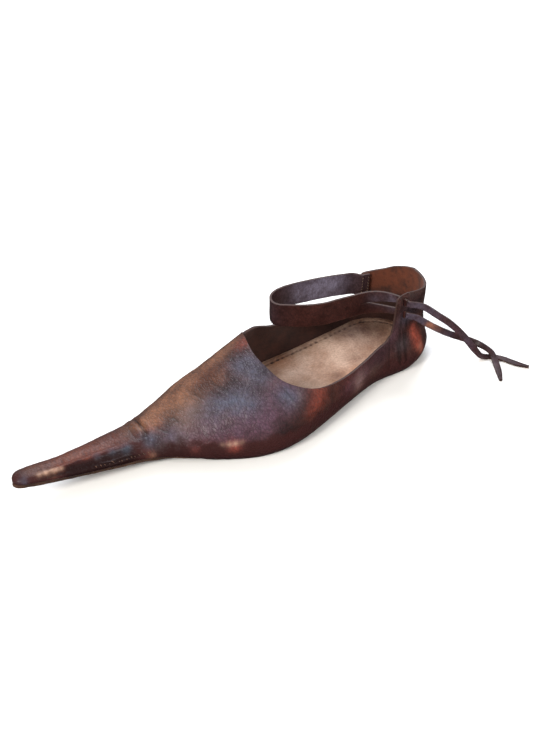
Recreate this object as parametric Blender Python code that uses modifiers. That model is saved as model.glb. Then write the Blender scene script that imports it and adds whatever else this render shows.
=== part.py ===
# Medieval pointed ankle-strap shoe, left foot, built from sections along the last.
# Frame in metres: +X toward the point, +Y the outer side of the foot, +Z up.
# The origin is on the floor under the middle of the heel seat.
import math

import bmesh
import bpy
import numpy as np

# Named sizes
last_length = 0.2955        # middle of the heel seat to the end of the point
heel_radius = 0.039         # outer side of the upper round the heel
section_height = 0.0865     # full height of the last's section over the heel
wall = 0.0018               # upper leather
gap = 0.0003                # clearance between parts that are sewn together
sole_thickness = 0.0026
insole_thickness = 0.0016
rim_height = 0.001          # lower edge of the upper over the floor
tuck = 0.0043               # how far the upper draws in under its bulge
tuck_full_width = 0.020     # half widths under this draw in less
point_lift = 0.0174         # toe spring at the end of the point
spring_start = 0.150        # where the toe spring leaves the floor
spring_power = 1.25
nose_length = 0.0085        # rounded end of the point
collar_height = 0.065
heel_hollow = 0.0046        # inward curve of the heel above its bulge
hollow_length = 0.040
rise_start = 0.172          # where the upper's edge steps up onto the sole
rise_length = 0.016
proud_start = 0.192         # where the sole's edge widens past the upper
proud_length = 0.014
sole_proud = 0.0006
insole_end = 0.186
insole_round = 0.024
strap_width = 0.019
strap_thickness = 0.0016
tongue_width = 0.0054
slit_height = 0.0062
slit_length = 0.0034
slit_depth = 0.016
edge_bevel = 0.0004
merge_distance = 0.00002
upper_rows = 10
tuck_rows = 3

# Sections of the last. Shares of last_length, heel_radius and section_height.
section_columns = ("along", "near", "far", "ridge", "middle", "bulge", "near_round", "far_round")
section_rows = (
    (0.000, 1.000, -1.000, 1.000, 0.000, 0.162, 3.000, 3.000),
    (0.090, 0.965, -0.969, 0.917, 0.000, 0.157, 2.700, 2.800),
    (0.193, 1.118, -0.949, 0.824, 0.069, 0.155, 2.300, 2.700),
    (0.296, 1.323, -0.954, 0.743, 0.110, 0.154, 2.000, 2.500),
    (0.386, 1.441, -0.910, 0.671, 0.156, 0.142, 2.000, 2.100),
    (0.469, 1.374, -0.869, 0.554, 0.113, 0.142, 2.000, 2.000),
    (0.550, 1.074, -0.828, 0.420, 0.041, 0.124, 2.000, 2.000),
    (0.627, 0.728, -0.677, 0.275, -0.051, 0.094, 2.000, 2.000),
    (0.694, 0.428, -0.546, 0.191, -0.100, 0.072, 2.100, 2.100),
    (0.772, 0.297, -0.472, 0.140, -0.149, 0.062, 2.200, 2.200),
    (0.868, 0.154, -0.392, 0.111, -0.179, 0.055, 2.200, 2.200),
    (0.971, -0.010, -0.379, 0.098, -0.210, 0.053, 2.200, 2.200),
)

# Columns of the vamp, from the end of the point back to the throat. Shares of last_length.
nose_shares = (1.0, 0.93, 0.75, 0.45, 0.0)
vamp_stations = (0.940, 0.905, 0.868, 0.830, 0.792, 0.755, 0.720, 0.690, 0.662, 0.636,
                 0.611, 0.587, 0.563, 0.540, 0.517, 0.495, 0.474)

# Top edge behind the throat. foot and edge are shares of last_length, negative round the heel.
# turn is how far the column climbs from the bulge (0) to the ridge (1).
near_edge_columns = ("foot", "edge", "turn")
near_edge_rows = (
    (0.447, 0.404, 1.000),
    (0.420, 0.407, 0.920),
    (0.396, 0.406, 0.820),
    (0.372, 0.399, 0.670),
    (0.348, 0.386, 0.560),
    (0.325, 0.366, 0.470),
    (0.296, 0.336, 0.375),
    (0.267, 0.306, 0.305),
    (0.233, 0.264, 0.240),
    (0.196, 0.216, 0.185),
    (0.158, 0.166, 0.162),
    (0.120, 0.122, 0.150),
    (0.090, 0.088, 0.144),
    (0.070, 0.066, 0.148),
    (0.056, 0.052, 0.190),
    (0.046, 0.0455, 0.275),
    (0.036, 0.041, 0.370),
    (0.028, 0.0375, 0.450),
    (0.018, 0.030, 0.486),
    (0.008, 0.016, 0.496),
    (-0.008, 0.001, 0.488),
    (-0.030, -0.026, 0.466),
    (-0.058, -0.056, 0.437),
    (-0.090, -0.090, 0.402),
    (-0.124, -0.124, 0.372),
    (-0.156, -0.156, 0.358),
    (-0.182, -0.182, 0.353),
    (-0.20731, -0.20731, 0.352),
)
far_edge_columns = ("foot", "edge", "turn")
far_edge_rows = (
    (0.447, 0.404, 1.000),
    (0.424, 0.396, 0.880),
    (0.404, 0.384, 0.740),
    (0.386, 0.371, 0.590),
    (0.370, 0.360, 0.460),
    (0.356, 0.3525, 0.360),
    (0.342, 0.346, 0.298),
    (0.326, 0.334, 0.288),
    (0.308, 0.320, 0.300),
    (0.288, 0.303, 0.293),
    (0.264, 0.284, 0.235),
    (0.238, 0.258, 0.172),
    (0.210, 0.228, 0.135),
    (0.180, 0.194, 0.112),
    (0.146, 0.154, 0.092),
    (0.112, 0.114, 0.074),
    (0.078, 0.076, 0.058),
    (0.044, 0.040, 0.044),
    (0.012, 0.008, 0.034),
    (-0.014, -0.016, 0.031),
    (-0.032, -0.036, 0.034),
    (-0.045, -0.0470, 0.046),
    (-0.054, -0.0490, 0.070),
    (-0.061, -0.0460, 0.110),
    (-0.067, -0.0410, 0.155),
    (-0.073, -0.0370, 0.193),
    (-0.081, -0.0430, 0.213),
    (-0.093, -0.0640, 0.222),
    (-0.108, -0.0880, 0.234),
    (-0.124, -0.1100, 0.251),
    (-0.142, -0.1380, 0.286),
    (-0.160, -0.1600, 0.307),
    (-0.182, -0.1820, 0.329),
    (-0.20731, -0.20731, 0.352),
)

# Ankle strap from its sewn end inside the far flap, forward, round and back.
# along is a share of last_length, across of heel_radius, height of collar_height.
strap_sewn_stations = (-0.062, -0.053, -0.044, -0.035)
strap_sewn_height = 0.602
strap_columns = ("along", "across", "height")
strap_rows = (
    (-0.008, -0.869, 0.622),
    (0.017, -0.903, 0.642),
    (0.058, -0.944, 0.675),
    (0.132, -0.974, 0.735),
    (0.186, -0.982, 0.772),
    (0.227, -0.944, 0.798),
    (0.257, -0.826, 0.812),
    (0.269, -0.654, 0.815),
    (0.264, -0.508, 0.815),
    (0.246, -0.385, 0.815),
    (0.212, -0.200, 0.815),
    (0.171, -0.056, 0.815),
    (0.139, -0.008, 0.815),
    (0.108, 0.041, 0.815),
    (0.090, 0.067, 0.812),
)
# The two tongues past the split, on the inner face of the near flap and out through the slits.
tongue_columns = ("along", "across", "high", "low")
tongue_rows = (
    (0.071, 0.108, 0.922, 0.711),
    (0.054, 0.174, 0.935, 0.726),
    (0.037, 0.333, 0.962, 0.763),
    (0.025, 0.538, 0.983, 0.803),
    (0.018, 0.718, 0.992, 0.831),
    (0.016, 0.810, 0.995, 0.840),
    (0.016, 0.887, 0.995, 0.842),
)
slit_along = 0.0161
slit_high = 0.9954
slit_low = 0.8415

# Free ends outside the slits, down to the floor. stand is 1 on edge and 0 flat.
thong_columns = ("along", "across", "height", "stand")
thong_high_rows = (
    (0.015, 0.897, 0.995, 1.000),
    (0.009, 0.964, 0.992, 1.000),
    (-0.006, 1.031, 0.978, 1.000),
    (-0.024, 1.100, 0.931, 1.000),
    (-0.052, 1.205, 0.815, 1.000),
    (-0.090, 1.274, 0.654, 1.000),
    (-0.133, 1.328, 0.431, 1.000),
    (-0.174, 1.405, 0.169, 0.800),
    (-0.196, 1.482, 0.043, 0.250),
    (-0.218, 1.564, 0.018, 0.000),
    (-0.237, 1.731, 0.018, 0.000),
    (-0.252, 2.003, 0.018, 0.000),
    (-0.269, 2.223, 0.018, 0.000),
)
thong_low_rows = (
    (0.015, 0.897, 0.842, 1.000),
    (0.009, 0.964, 0.838, 1.000),
    (-0.006, 1.036, 0.809, 1.000),
    (-0.028, 1.110, 0.723, 1.000),
    (-0.065, 1.159, 0.585, 1.000),
    (-0.107, 1.179, 0.438, 1.000),
    (-0.155, 1.187, 0.285, 0.900),
    (-0.191, 1.251, 0.177, 0.700),
    (-0.213, 1.367, 0.111, 0.200),
    (-0.222, 1.538, 0.068, 0.000),
    (-0.213, 1.723, 0.037, 0.000),
    (-0.197, 1.936, 0.018, 0.000),
    (-0.172, 2.197, 0.018, 0.000),
)
thong_width = 0.005
thong_thickness = 0.0016
thong_tip_share = 0.45
strap_steps = 2
thong_steps = 3

leather_colours = {
    "sole": (0.115, 0.055, 0.032),
    "upper": (0.085, 0.030, 0.022),
    "insole": (0.420, 0.270, 0.175),
    "ankle_strap": (0.060, 0.030, 0.030),
    "thong_upper": (0.055, 0.026, 0.026),
    "thong_lower": (0.055, 0.026, 0.026),
}
leather_roughness = 0.45


def column(columns, rows, name):
    """One named column of a table."""
    return np.array([row[columns.index(name)] for row in rows], float)


def smooth(stations, values, where):
    """Cubic curve through the values, with slopes from their neighbours."""
    where = np.asarray(where, float)
    step = np.diff(stations)
    rise = np.diff(values) / step
    slope = np.empty_like(values)
    slope[0] = rise[0]
    slope[-1] = rise[-1]
    slope[1:-1] = (rise[:-1] * step[1:] + rise[1:] * step[:-1]) / (step[1:] + step[:-1])
    index = np.clip(np.searchsorted(stations, where, side="right") - 1, 0, len(stations) - 2)
    span = step[index]
    share = np.clip((where - stations[index]) / span, 0, 1)
    start = (1 + 2 * share) * (1 - share) ** 2 * values[index]
    start = start + share * (1 - share) ** 2 * span * slope[index]
    end = share ** 2 * (3 - 2 * share) * values[index + 1]
    end = end + share ** 2 * (share - 1) * span * slope[index + 1]
    return start + end


section_stations = column(section_columns, section_rows, "along") * last_length
section_units = {
    "near": heel_radius, "far": heel_radius, "middle": heel_radius,
    "ridge": section_height, "bulge": section_height, "near_round": 1, "far_round": 1,
}
nose_start = section_stations[-1]


def section(name, along):
    """A size of the last's section, in metres or as a plain exponent."""
    values = column(section_columns, section_rows, name) * section_units[name]
    return smooth(section_stations, values, np.clip(along, 0, nose_start))


def spring(along):
    """Height of the sole's underside over the floor."""
    share = np.clip((along - spring_start) / (last_length - spring_start), 0, 1)
    return point_lift * share ** spring_power


def upper_rim(along):
    """Height of the upper's lower edge over the sole's underside."""
    share = np.clip((along - rise_start) / rise_length, 0, 1)
    return rim_height + (sole_thickness + gap - rim_height) * share ** 2 * (3 - 2 * share)


def last_point(along, side, turn):
    """A point of the upper's outer face.

    along runs from the point to the heel seat and, below zero, round the heel.
    turn runs from -1 at the lower edge by 0 at the bulge to 1 on the ridge.
    """
    along, turn = np.broadcast_arrays(np.asarray(along, float), np.asarray(turn, float))
    body = np.clip(along, 0, None)
    nose = np.clip((body - nose_start) / nose_length, 0, 1)
    narrow = np.sqrt(np.clip(1 - nose ** 2, 0, 1))
    tip_middle = (section("near", nose_start) + section("far", nose_start)) / 2
    width = section("near" if side > 0 else "far", body)
    width = np.where(nose > 0, tip_middle + (width - tip_middle) * narrow, width)
    middle = section("middle", body)
    middle = np.where(nose > 0, tip_middle + (middle - tip_middle) * narrow, middle)
    bulge = section("bulge", body)
    ridge = bulge + (section("ridge", body) - bulge) * narrow
    power = 2 / section("near_round" if side > 0 else "far_round", body)
    angle = np.clip(turn, 0, 1) * math.pi / 2
    across = middle + (width - middle) * np.cos(angle) ** power
    height = bulge + (ridge - bulge) * np.sin(angle) ** power
    low = np.clip(-turn, 0, 1)
    draw = tuck * np.minimum(1, np.abs(width - middle) / tuck_full_width)
    across = across - np.sign(width - middle) * draw * low ** 2
    height = height - (bulge - upper_rim(body)) * low
    climb = np.clip((height - bulge) / (collar_height - bulge), 0, 1)
    fade = np.clip(1 - body / hollow_length, 0, 1)
    across = across - side * heel_hollow * fade * np.sin(math.pi * climb) * (turn > 0)
    height = height + spring(body)
    wrap = np.clip(-along, 0, None) / heel_radius
    radius = np.abs(across)
    x = np.where(along < 0, -radius * np.sin(wrap), body)
    y = np.where(along < 0, side * radius * np.cos(wrap), across)
    return np.stack([x, y, height], -1)


def edge_columns(columns, rows):
    """Foot, edge and turn of every column behind the throat, two steps per row."""
    index = np.arange(len(rows), dtype=float)
    fine = np.linspace(0, len(rows) - 1, 2 * (len(rows) - 1) + 1)
    result = [smooth(index, column(columns, rows, name), fine) for name in columns]
    return np.stack(result, -1)


def half_grid(side, columns, rows):
    """Outer face of one side of the upper, point to heel, lower edge to top edge."""
    nose = (nose_start + np.array(nose_shares) * nose_length) / last_length
    vamp = np.concatenate([nose, np.array(vamp_stations)])
    vamp = np.stack([vamp, vamp, np.ones_like(vamp)], -1)
    table = np.concatenate([vamp, edge_columns(columns, rows)])
    low = np.linspace(-1, 0, tuck_rows + 1)
    share = np.linspace(0, 1, upper_rows - tuck_rows)
    points = []
    for foot, edge, turn in table:
        turns = np.concatenate([low[:-1], share * turn])
        lean = np.concatenate([np.zeros(tuck_rows), share])
        along = (foot + (edge - foot) * lean) * last_length
        points.append(last_point(along, side, turns))
    return np.array(points)


def mesh_object(name, vertices, faces, collection):
    """A mesh object whose doubled vertices are merged and whose faces point outward."""
    mesh = bpy.data.meshes.new(name)
    work = bmesh.new()
    made = [work.verts.new(tuple(point)) for point in vertices]
    for face in faces:
        work.faces.new([made[index] for index in face])
    bmesh.ops.remove_doubles(work, verts=work.verts, dist=merge_distance)
    bmesh.ops.recalc_face_normals(work, faces=work.faces)
    work.to_mesh(mesh)
    work.free()
    thing = bpy.data.objects.new(name, mesh)
    collection.objects.link(thing)
    return thing


def leather(name):
    """Material of one piece."""
    material = bpy.data.materials.new(name + "_leather")
    material.use_nodes = True
    shader = material.node_tree.nodes["Principled BSDF"]
    shader.inputs["Base Color"].default_value = (*leather_colours[name], 1)
    shader.inputs["Roughness"].default_value = leather_roughness
    return material


def thicken(thing, thickness, offset):
    """Solidify an open surface."""
    solid = thing.modifiers.new("thickness", "SOLIDIFY")
    solid.thickness = thickness
    solid.offset = offset
    solid.use_even_offset = False
    solid.use_quality_normals = True
    return solid


def soften(thing, width):
    """Small bevel on the cut edges of a piece."""
    bevel = thing.modifiers.new("cut_edge", "BEVEL")
    bevel.width = width
    bevel.segments = 1
    bevel.limit_method = "ANGLE"
    bevel.angle_limit = math.radians(50)
    bevel.use_clamp_overlap = True
    return bevel


def grid_faces(count_long, count_wide, start=0):
    """Quads of a grid stored row after row."""
    faces = []
    for i in range(count_long - 1):
        for j in range(count_wide - 1):
            first = start + i * count_wide + j
            faces.append((first, first + count_wide, first + count_wide + 1, first + 1))
    return faces


def build_upper(collection, cutters):
    """Both halves of the upper as one open surface, thickened inward and slit at the near flap."""
    near = half_grid(1, near_edge_columns, near_edge_rows)
    far = half_grid(-1, far_edge_columns, far_edge_rows)
    vertices = np.concatenate([near.reshape(-1, 3), far.reshape(-1, 3)])
    faces = grid_faces(len(near), upper_rows)
    turned = grid_faces(len(far), upper_rows, near.shape[0] * upper_rows)
    faces += [tuple(reversed(face)) for face in turned]
    upper = mesh_object("upper", vertices, faces, collection)
    upper.data.materials.append(leather("upper"))
    thicken(upper, wall, -1)
    for number, height in enumerate((slit_high, slit_low)):
        centre = strap_frame(slit_along, 0.93, height)
        mesh = bpy.data.meshes.new("slit")
        work = bmesh.new()
        bmesh.ops.create_cube(work, size=1)
        work.to_mesh(mesh)
        work.free()
        cutter = bpy.data.objects.new("slit_%d" % number, mesh)
        cutters.objects.link(cutter)
        cutter.location = centre
        cutter.scale = (slit_length, slit_depth, slit_height)
        cutter.display_type = "WIRE"
        cutter.hide_render = True
        cut = upper.modifiers.new("slit_%d" % number, "BOOLEAN")
        cut.operation = "DIFFERENCE"
        cut.solver = "EXACT"
        cut.object = cutter
    return upper


def outline(along, side):
    """Lower edge of the upper's outer face, seen from above."""
    return last_point(along, side, -np.ones_like(along))[:, :2]


def inset(near, far, distance):
    """Both side lines moved inward, square to the closed outline that they form."""
    loop = np.concatenate([near, far[-2:0:-1]])
    ahead = np.roll(loop, -1, axis=0) - np.roll(loop, 1, axis=0)
    inward = np.stack([-ahead[:, 1], ahead[:, 0]], -1)
    inward = inward / np.linalg.norm(inward, axis=1)[:, None]
    centre = loop.mean(axis=0)
    facing = np.sign(np.sum(inward * (centre - loop)))
    distances = np.concatenate([distance, distance[-2:0:-1]])
    moved = loop + inward * facing * distances[:, None]
    count = len(near)
    near_line = moved[:count]
    far_line = np.concatenate([moved[:1], moved[count:][::-1], moved[count - 1:count]])
    return near_line, far_line


def plate(name, near, far, low, thickness, collection):
    """A plate between two side lines that meet at both ends, lying on a curved floor."""
    middle = (near + far) / 2
    rows = np.stack([near, middle, far], 1)
    top = np.concatenate([rows, (low + thickness)[:, None, None] * np.ones((1, 3, 1))], -1)
    thing = mesh_object(name, top.reshape(-1, 3), grid_faces(len(near), 3), collection)
    thing.data.materials.append(leather(name))
    for polygon in thing.data.polygons:
        if polygon.normal.z < 0:
            thing.data.flip_normals()
            break
    thicken(thing, thickness, -1)
    soften(thing, edge_bevel)
    return thing


def sole_stations():
    """Stations from the end of the point to the back of the heel, close where it curves."""
    nose = nose_start + np.array(nose_shares) * nose_length
    body = np.linspace(nose_start, 0, 36)[1:]
    heel = np.linspace(0, -heel_radius * math.pi / 2, 13)[1:]
    return np.concatenate([nose, body, heel])


def build_sole(collection):
    """Sole inside the upper's edge, widening past it under the point."""
    along = sole_stations()
    near = outline(along, 1)
    far = outline(along, -1)
    share = np.clip((along - proud_start) / proud_length, 0, 1)
    distance = wall + gap - (wall + gap + sole_proud) * share ** 2 * (3 - 2 * share)
    near, far = inset(near, far, distance)
    low = spring(near[:, 0])
    return plate("sole", near, far, low, sole_thickness, collection)


def build_insole(collection):
    """Insole on the sole, inside the upper, with a rounded front."""
    front = insole_end - insole_round
    nose = front + insole_round * np.array((1.0, 0.95, 0.8, 0.6, 0.35))
    body = np.linspace(front, 0, 22)
    heel = np.linspace(0, -heel_radius * math.pi / 2, 13)[1:]
    along = np.concatenate([nose, body, heel])
    near = outline(along, 1)
    far = outline(along, -1)
    share = np.clip((along - front) / insole_round, 0, 1)
    narrow = np.sqrt(1 - share ** 2)[:, None]
    middle = (near + far) / 2
    near, far = inset(middle + (near - middle) * narrow, middle + (far - middle) * narrow,
                      np.full(len(along), wall))
    low = spring(near[:, 0]) + sole_thickness + gap
    return plate("insole", near, far, low, insole_thickness, collection)


def strap_frame(along, across, height):
    """Shares of the named sizes as metres."""
    return np.array((along * last_length, across * heel_radius, height * collar_height))


def turn_at(along, side, height):
    """Turn at which a column of the heel reaches a height."""
    turns = np.linspace(0, 1, 400)
    heights = last_point(np.full_like(turns, along), side, turns)[:, 2]
    return float(np.interp(height, heights, turns))


def sewn_rows(sides):
    """Strap rows that lie on the inner face of the far flap."""
    rows = []
    for station in strap_sewn_stations:
        along = station * last_length
        row = []
        for side in sides:
            height = strap_sewn_height * collar_height + side * strap_width
            point = last_point(along, -1, turn_at(along, -1, height))
            inner = point[:2] / np.linalg.norm(point[:2])
            clear = wall + gap * 2 + strap_thickness / 2
            row.append((*(point[:2] - inner * clear), height))
        rows.append(row)
    return rows


def refine(points, steps):
    """Smooth curve through the rows of a path, with more steps between them."""
    index = np.arange(len(points), dtype=float)
    fine = np.linspace(0, len(points) - 1, steps * (len(points) - 1) + 1)
    flat = points.reshape(len(points), -1)
    result = np.stack([smooth(index, flat[:, k], fine) for k in range(flat.shape[1])], -1)
    return result.reshape((len(fine),) + points.shape[1:])


def build_strap(collection):
    """Strap on edge, split near its end into two tongues that pass the slits."""
    inner = 0.5 - tongue_width / strap_width
    sides = (0.5, inner, -inner, -0.5)
    rows = sewn_rows(sides)
    for along, across, height in strap_rows:
        point = strap_frame(along, across, height)
        rows.append([point + (0, 0, side * strap_width) for side in sides])
    split = (len(rows) - 1) * strap_steps
    for along, across, high, low in tongue_rows:
        top = strap_frame(along, across, high)
        bottom = strap_frame(along, across, low)
        half = (0, 0, tongue_width / 2)
        rows.append([top + half, top - half, bottom + half, bottom - half])
    path = refine(np.array(rows), strap_steps)
    faces = [face for face in grid_faces(len(path), 4)
             if not (face[0] % 4 == 1 and face[0] // 4 >= split)]
    strap = mesh_object("ankle_strap", path.reshape(-1, 3), faces, collection)
    strap.data.materials.append(leather("ankle_strap"))
    thicken(strap, strap_thickness, 0)
    return strap


def build_thong(name, rows, collection):
    """A free flat end that leaves its slit, drops to the floor and lies there."""
    table = np.array(rows)
    points = table[:, :3] * (last_length, heel_radius, collar_height)
    points = refine(points, thong_steps)
    stand = refine(table[:, 3:], thong_steps)[:, 0]
    count = len(points)
    tangent = np.gradient(points, axis=0)
    tangent = tangent / np.linalg.norm(tangent, axis=1)[:, None]
    level = np.stack([-tangent[:, 1], tangent[:, 0], np.zeros(count)], -1)
    level = level / np.linalg.norm(level, axis=1)[:, None]
    rise = np.cross(tangent, level)
    angle = np.clip(stand, 0, 1) * math.pi / 2
    wide = level * np.cos(angle)[:, None] + rise * np.sin(angle)[:, None]
    left = (1 - np.linspace(0, 1, count)) * count
    taper = thong_tip_share + (1 - thong_tip_share) * np.clip(left / (2 * thong_steps), 0, 1)
    half = wide * (thong_width / 2 * taper)[:, None]
    strip = np.stack([points + half, points - half], 1)
    thong = mesh_object(name, strip.reshape(-1, 3), grid_faces(count, 2), collection)
    thong.data.materials.append(leather(name))
    thicken(thong, thong_thickness, 0)
    return thong


def build():
    """The whole shoe, each piece an object of its own."""
    for thing in list(bpy.data.objects):
        bpy.data.objects.remove(thing, do_unlink=True)
    shoe = bpy.data.collections.new("poulaine_shoe")
    cutters = bpy.data.collections.new("cutters")
    bpy.context.scene.collection.children.link(shoe)
    bpy.context.scene.collection.children.link(cutters)
    cutters.hide_render = True
    build_sole(shoe)
    build_upper(shoe, cutters)
    build_insole(shoe)
    build_strap(shoe)
    build_thong("thong_upper", thong_high_rows, shoe)
    build_thong("thong_lower", thong_low_rows, shoe)


build()
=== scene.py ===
import math

import bmesh
import bpy
import numpy as np
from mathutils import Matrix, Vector, noise


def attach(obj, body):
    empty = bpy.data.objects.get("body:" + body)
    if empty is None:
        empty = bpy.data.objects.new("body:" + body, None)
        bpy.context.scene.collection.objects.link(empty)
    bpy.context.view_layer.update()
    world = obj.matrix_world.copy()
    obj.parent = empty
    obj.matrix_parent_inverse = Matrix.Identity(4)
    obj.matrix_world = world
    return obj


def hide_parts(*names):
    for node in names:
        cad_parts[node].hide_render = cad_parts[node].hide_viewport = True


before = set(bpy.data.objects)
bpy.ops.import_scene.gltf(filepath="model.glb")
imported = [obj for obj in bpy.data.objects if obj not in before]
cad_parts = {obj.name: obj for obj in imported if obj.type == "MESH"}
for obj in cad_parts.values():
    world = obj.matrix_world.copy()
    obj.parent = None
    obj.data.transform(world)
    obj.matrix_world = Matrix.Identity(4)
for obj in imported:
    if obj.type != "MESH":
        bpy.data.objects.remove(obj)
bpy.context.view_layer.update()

# Left pointed shoe with an ankle strap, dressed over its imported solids.
# Metres, +X toward the point, +Y the outer side of the foot, +Z up, floor at 0.

mm = 0.001


def linearColour(hexText):
    # sRGB hex to the linear colour that a shader takes
    parts = [int(hexText[i:i + 2], 16) / 255 for i in (0, 2, 4)]
    return tuple(c / 12.92 if c <= 0.04045 else ((c + 0.055) / 1.055) ** 2.4 for c in parts) + (1.0,)


def setInputs(tree, node, inputs):
    # an input takes a value, another node's output, or another node, whose first output it then is
    for name, value in inputs.items():
        if isinstance(value, bpy.types.Node):
            value = value.outputs[0]
        if isinstance(value, bpy.types.NodeSocket):
            tree.links.new(value, node.inputs[name])
        else:
            node.inputs[name].default_value = value


def addNode(tree, kind, inputs=None, **settings):
    # one node with its settings and links
    node = tree.nodes.new("ShaderNode" + kind)
    for name, value in settings.items():
        setattr(node, name, value)
    setInputs(tree, node, inputs or {})
    return node


# Camera, at the photograph's angle
camera = {
    "azimuth": 35.24,        # degrees from +Y toward +X
    "elevation": 40.0,
    "distance": 0.717,
    "target": (0.1007, -0.0014, 0.020),
    "lens": 47.75,           # on a 36 mm sensor along the picture's long side
}


def makeCamera(s):
    turn, rise = math.radians(s["azimuth"]), math.radians(s["elevation"])
    back = Vector((math.sin(turn) * math.cos(rise), math.cos(turn) * math.cos(rise), math.sin(rise)))
    data = bpy.data.cameras.new("photoCamera")
    data.lens = s["lens"]
    data.sensor_width = 36
    data.sensor_fit = "AUTO"
    data.clip_start, data.clip_end = 0.01, 50
    thing = bpy.data.objects.new("photoCamera", data)
    thing.location = Vector(s["target"]) + back * s["distance"]
    thing.rotation_euler = (-back).to_track_quat("-Z", "Y").to_euler()
    bpy.context.scene.collection.objects.link(thing)
    bpy.context.scene.camera = thing


makeCamera(camera)


# The last that the upper was pulled over, as in the solids
last = {
    "length": 0.2955, "heelRadius": 0.039, "height": 0.0865,
    "wall": 0.0018, "gap": 0.0003, "sole": 0.0026, "insole": 0.0016,
    "rimHeight": 0.001, "tuck": 0.0043, "tuckFullWidth": 0.020,
    "pointLift": 0.0174, "springStart": 0.150, "springPower": 1.25,
    "noseLength": 0.0085, "collar": 0.065, "heelHollow": 0.0046, "hollowLength": 0.040,
    "riseStart": 0.172, "riseLength": 0.016, "proudStart": 0.192, "proudLength": 0.014,
    "proud": 0.0006, "insoleEnd": 0.186, "insoleRound": 0.024,
}
# along, near, far, ridge, middle, bulge, roundness near and far, in shares of length, radius, height
sectionRows = np.array((
    (0.000, 1.000, -1.000, 1.000, 0.000, 0.162, 3.0, 3.0),
    (0.090, 0.965, -0.969, 0.917, 0.000, 0.157, 2.7, 2.8),
    (0.193, 1.118, -0.949, 0.824, 0.069, 0.155, 2.3, 2.7),
    (0.296, 1.323, -0.954, 0.743, 0.110, 0.154, 2.0, 2.5),
    (0.386, 1.441, -0.910, 0.671, 0.156, 0.142, 2.0, 2.1),
    (0.469, 1.374, -0.869, 0.554, 0.113, 0.142, 2.0, 2.0),
    (0.550, 1.074, -0.828, 0.420, 0.041, 0.124, 2.0, 2.0),
    (0.627, 0.728, -0.677, 0.275, -0.051, 0.094, 2.0, 2.0),
    (0.694, 0.428, -0.546, 0.191, -0.100, 0.072, 2.1, 2.1),
    (0.772, 0.297, -0.472, 0.140, -0.149, 0.062, 2.2, 2.2),
    (0.868, 0.154, -0.392, 0.111, -0.179, 0.055, 2.2, 2.2),
    (0.971, -0.010, -0.379, 0.098, -0.210, 0.053, 2.2, 2.2),
))
sectionScale = np.array([last["length"], last["heelRadius"], last["heelRadius"], last["height"],
                         last["heelRadius"], last["height"], 1, 1])
sections = sectionRows * sectionScale
sectionNames = ("along", "near", "far", "ridge", "middle", "bulge", "nearRound", "farRound")
noseStart = sections[-1, 0]


def smooth(stations, values, where):
    # cubic curve through the values, with slopes from their neighbours
    stations, values, where = (np.asarray(x, float) for x in (stations, values, where))
    step = np.diff(stations)
    rise = np.diff(values) / step
    slope = np.empty_like(values)
    slope[0], slope[-1] = rise[0], rise[-1]
    slope[1:-1] = (rise[:-1] * step[1:] + rise[1:] * step[:-1]) / (step[1:] + step[:-1])
    i = np.clip(np.searchsorted(stations, where, side="right") - 1, 0, len(stations) - 2)
    t = np.clip((where - stations[i]) / step[i], 0, 1)
    start = (1 + 2 * t) * (1 - t) ** 2 * values[i] + t * (1 - t) ** 2 * step[i] * slope[i]
    end = t ** 2 * (3 - 2 * t) * values[i + 1] + t ** 2 * (t - 1) * step[i] * slope[i + 1]
    return start + end


def smoothRows(rows, steps):
    # the same curve through the rows of a table, with more steps between them
    rows = np.asarray(rows, float)
    flat = rows.reshape(len(rows), -1)
    index = np.arange(len(rows))
    fine = np.linspace(0, len(rows) - 1, steps * (len(rows) - 1) + 1)
    made = np.stack([smooth(index, flat[:, k], fine) for k in range(flat.shape[1])], -1)
    return made.reshape((len(fine),) + rows.shape[1:])


def ease(share):
    share = np.clip(share, 0, 1)
    return share * share * (3 - 2 * share)


def ramp(values, start, end):
    # 0 up to start, 1 from end on, both in mm; a start past the end turns it round
    return ease((values / mm - start) / (end - start))


def section(name, along):
    return smooth(sections[:, 0], sections[:, sectionNames.index(name)], np.clip(along, 0, noseStart))


def spring(along):
    # height of the sole's underside over the floor
    share = np.clip((along - last["springStart"]) / (last["length"] - last["springStart"]), 0, 1)
    return last["pointLift"] * share ** last["springPower"]


def upperRim(along):
    # height of the upper's lower edge over the sole's underside
    full = last["sole"] + last["gap"] - last["rimHeight"]
    return last["rimHeight"] + full * ease((along - last["riseStart"]) / last["riseLength"])


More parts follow.
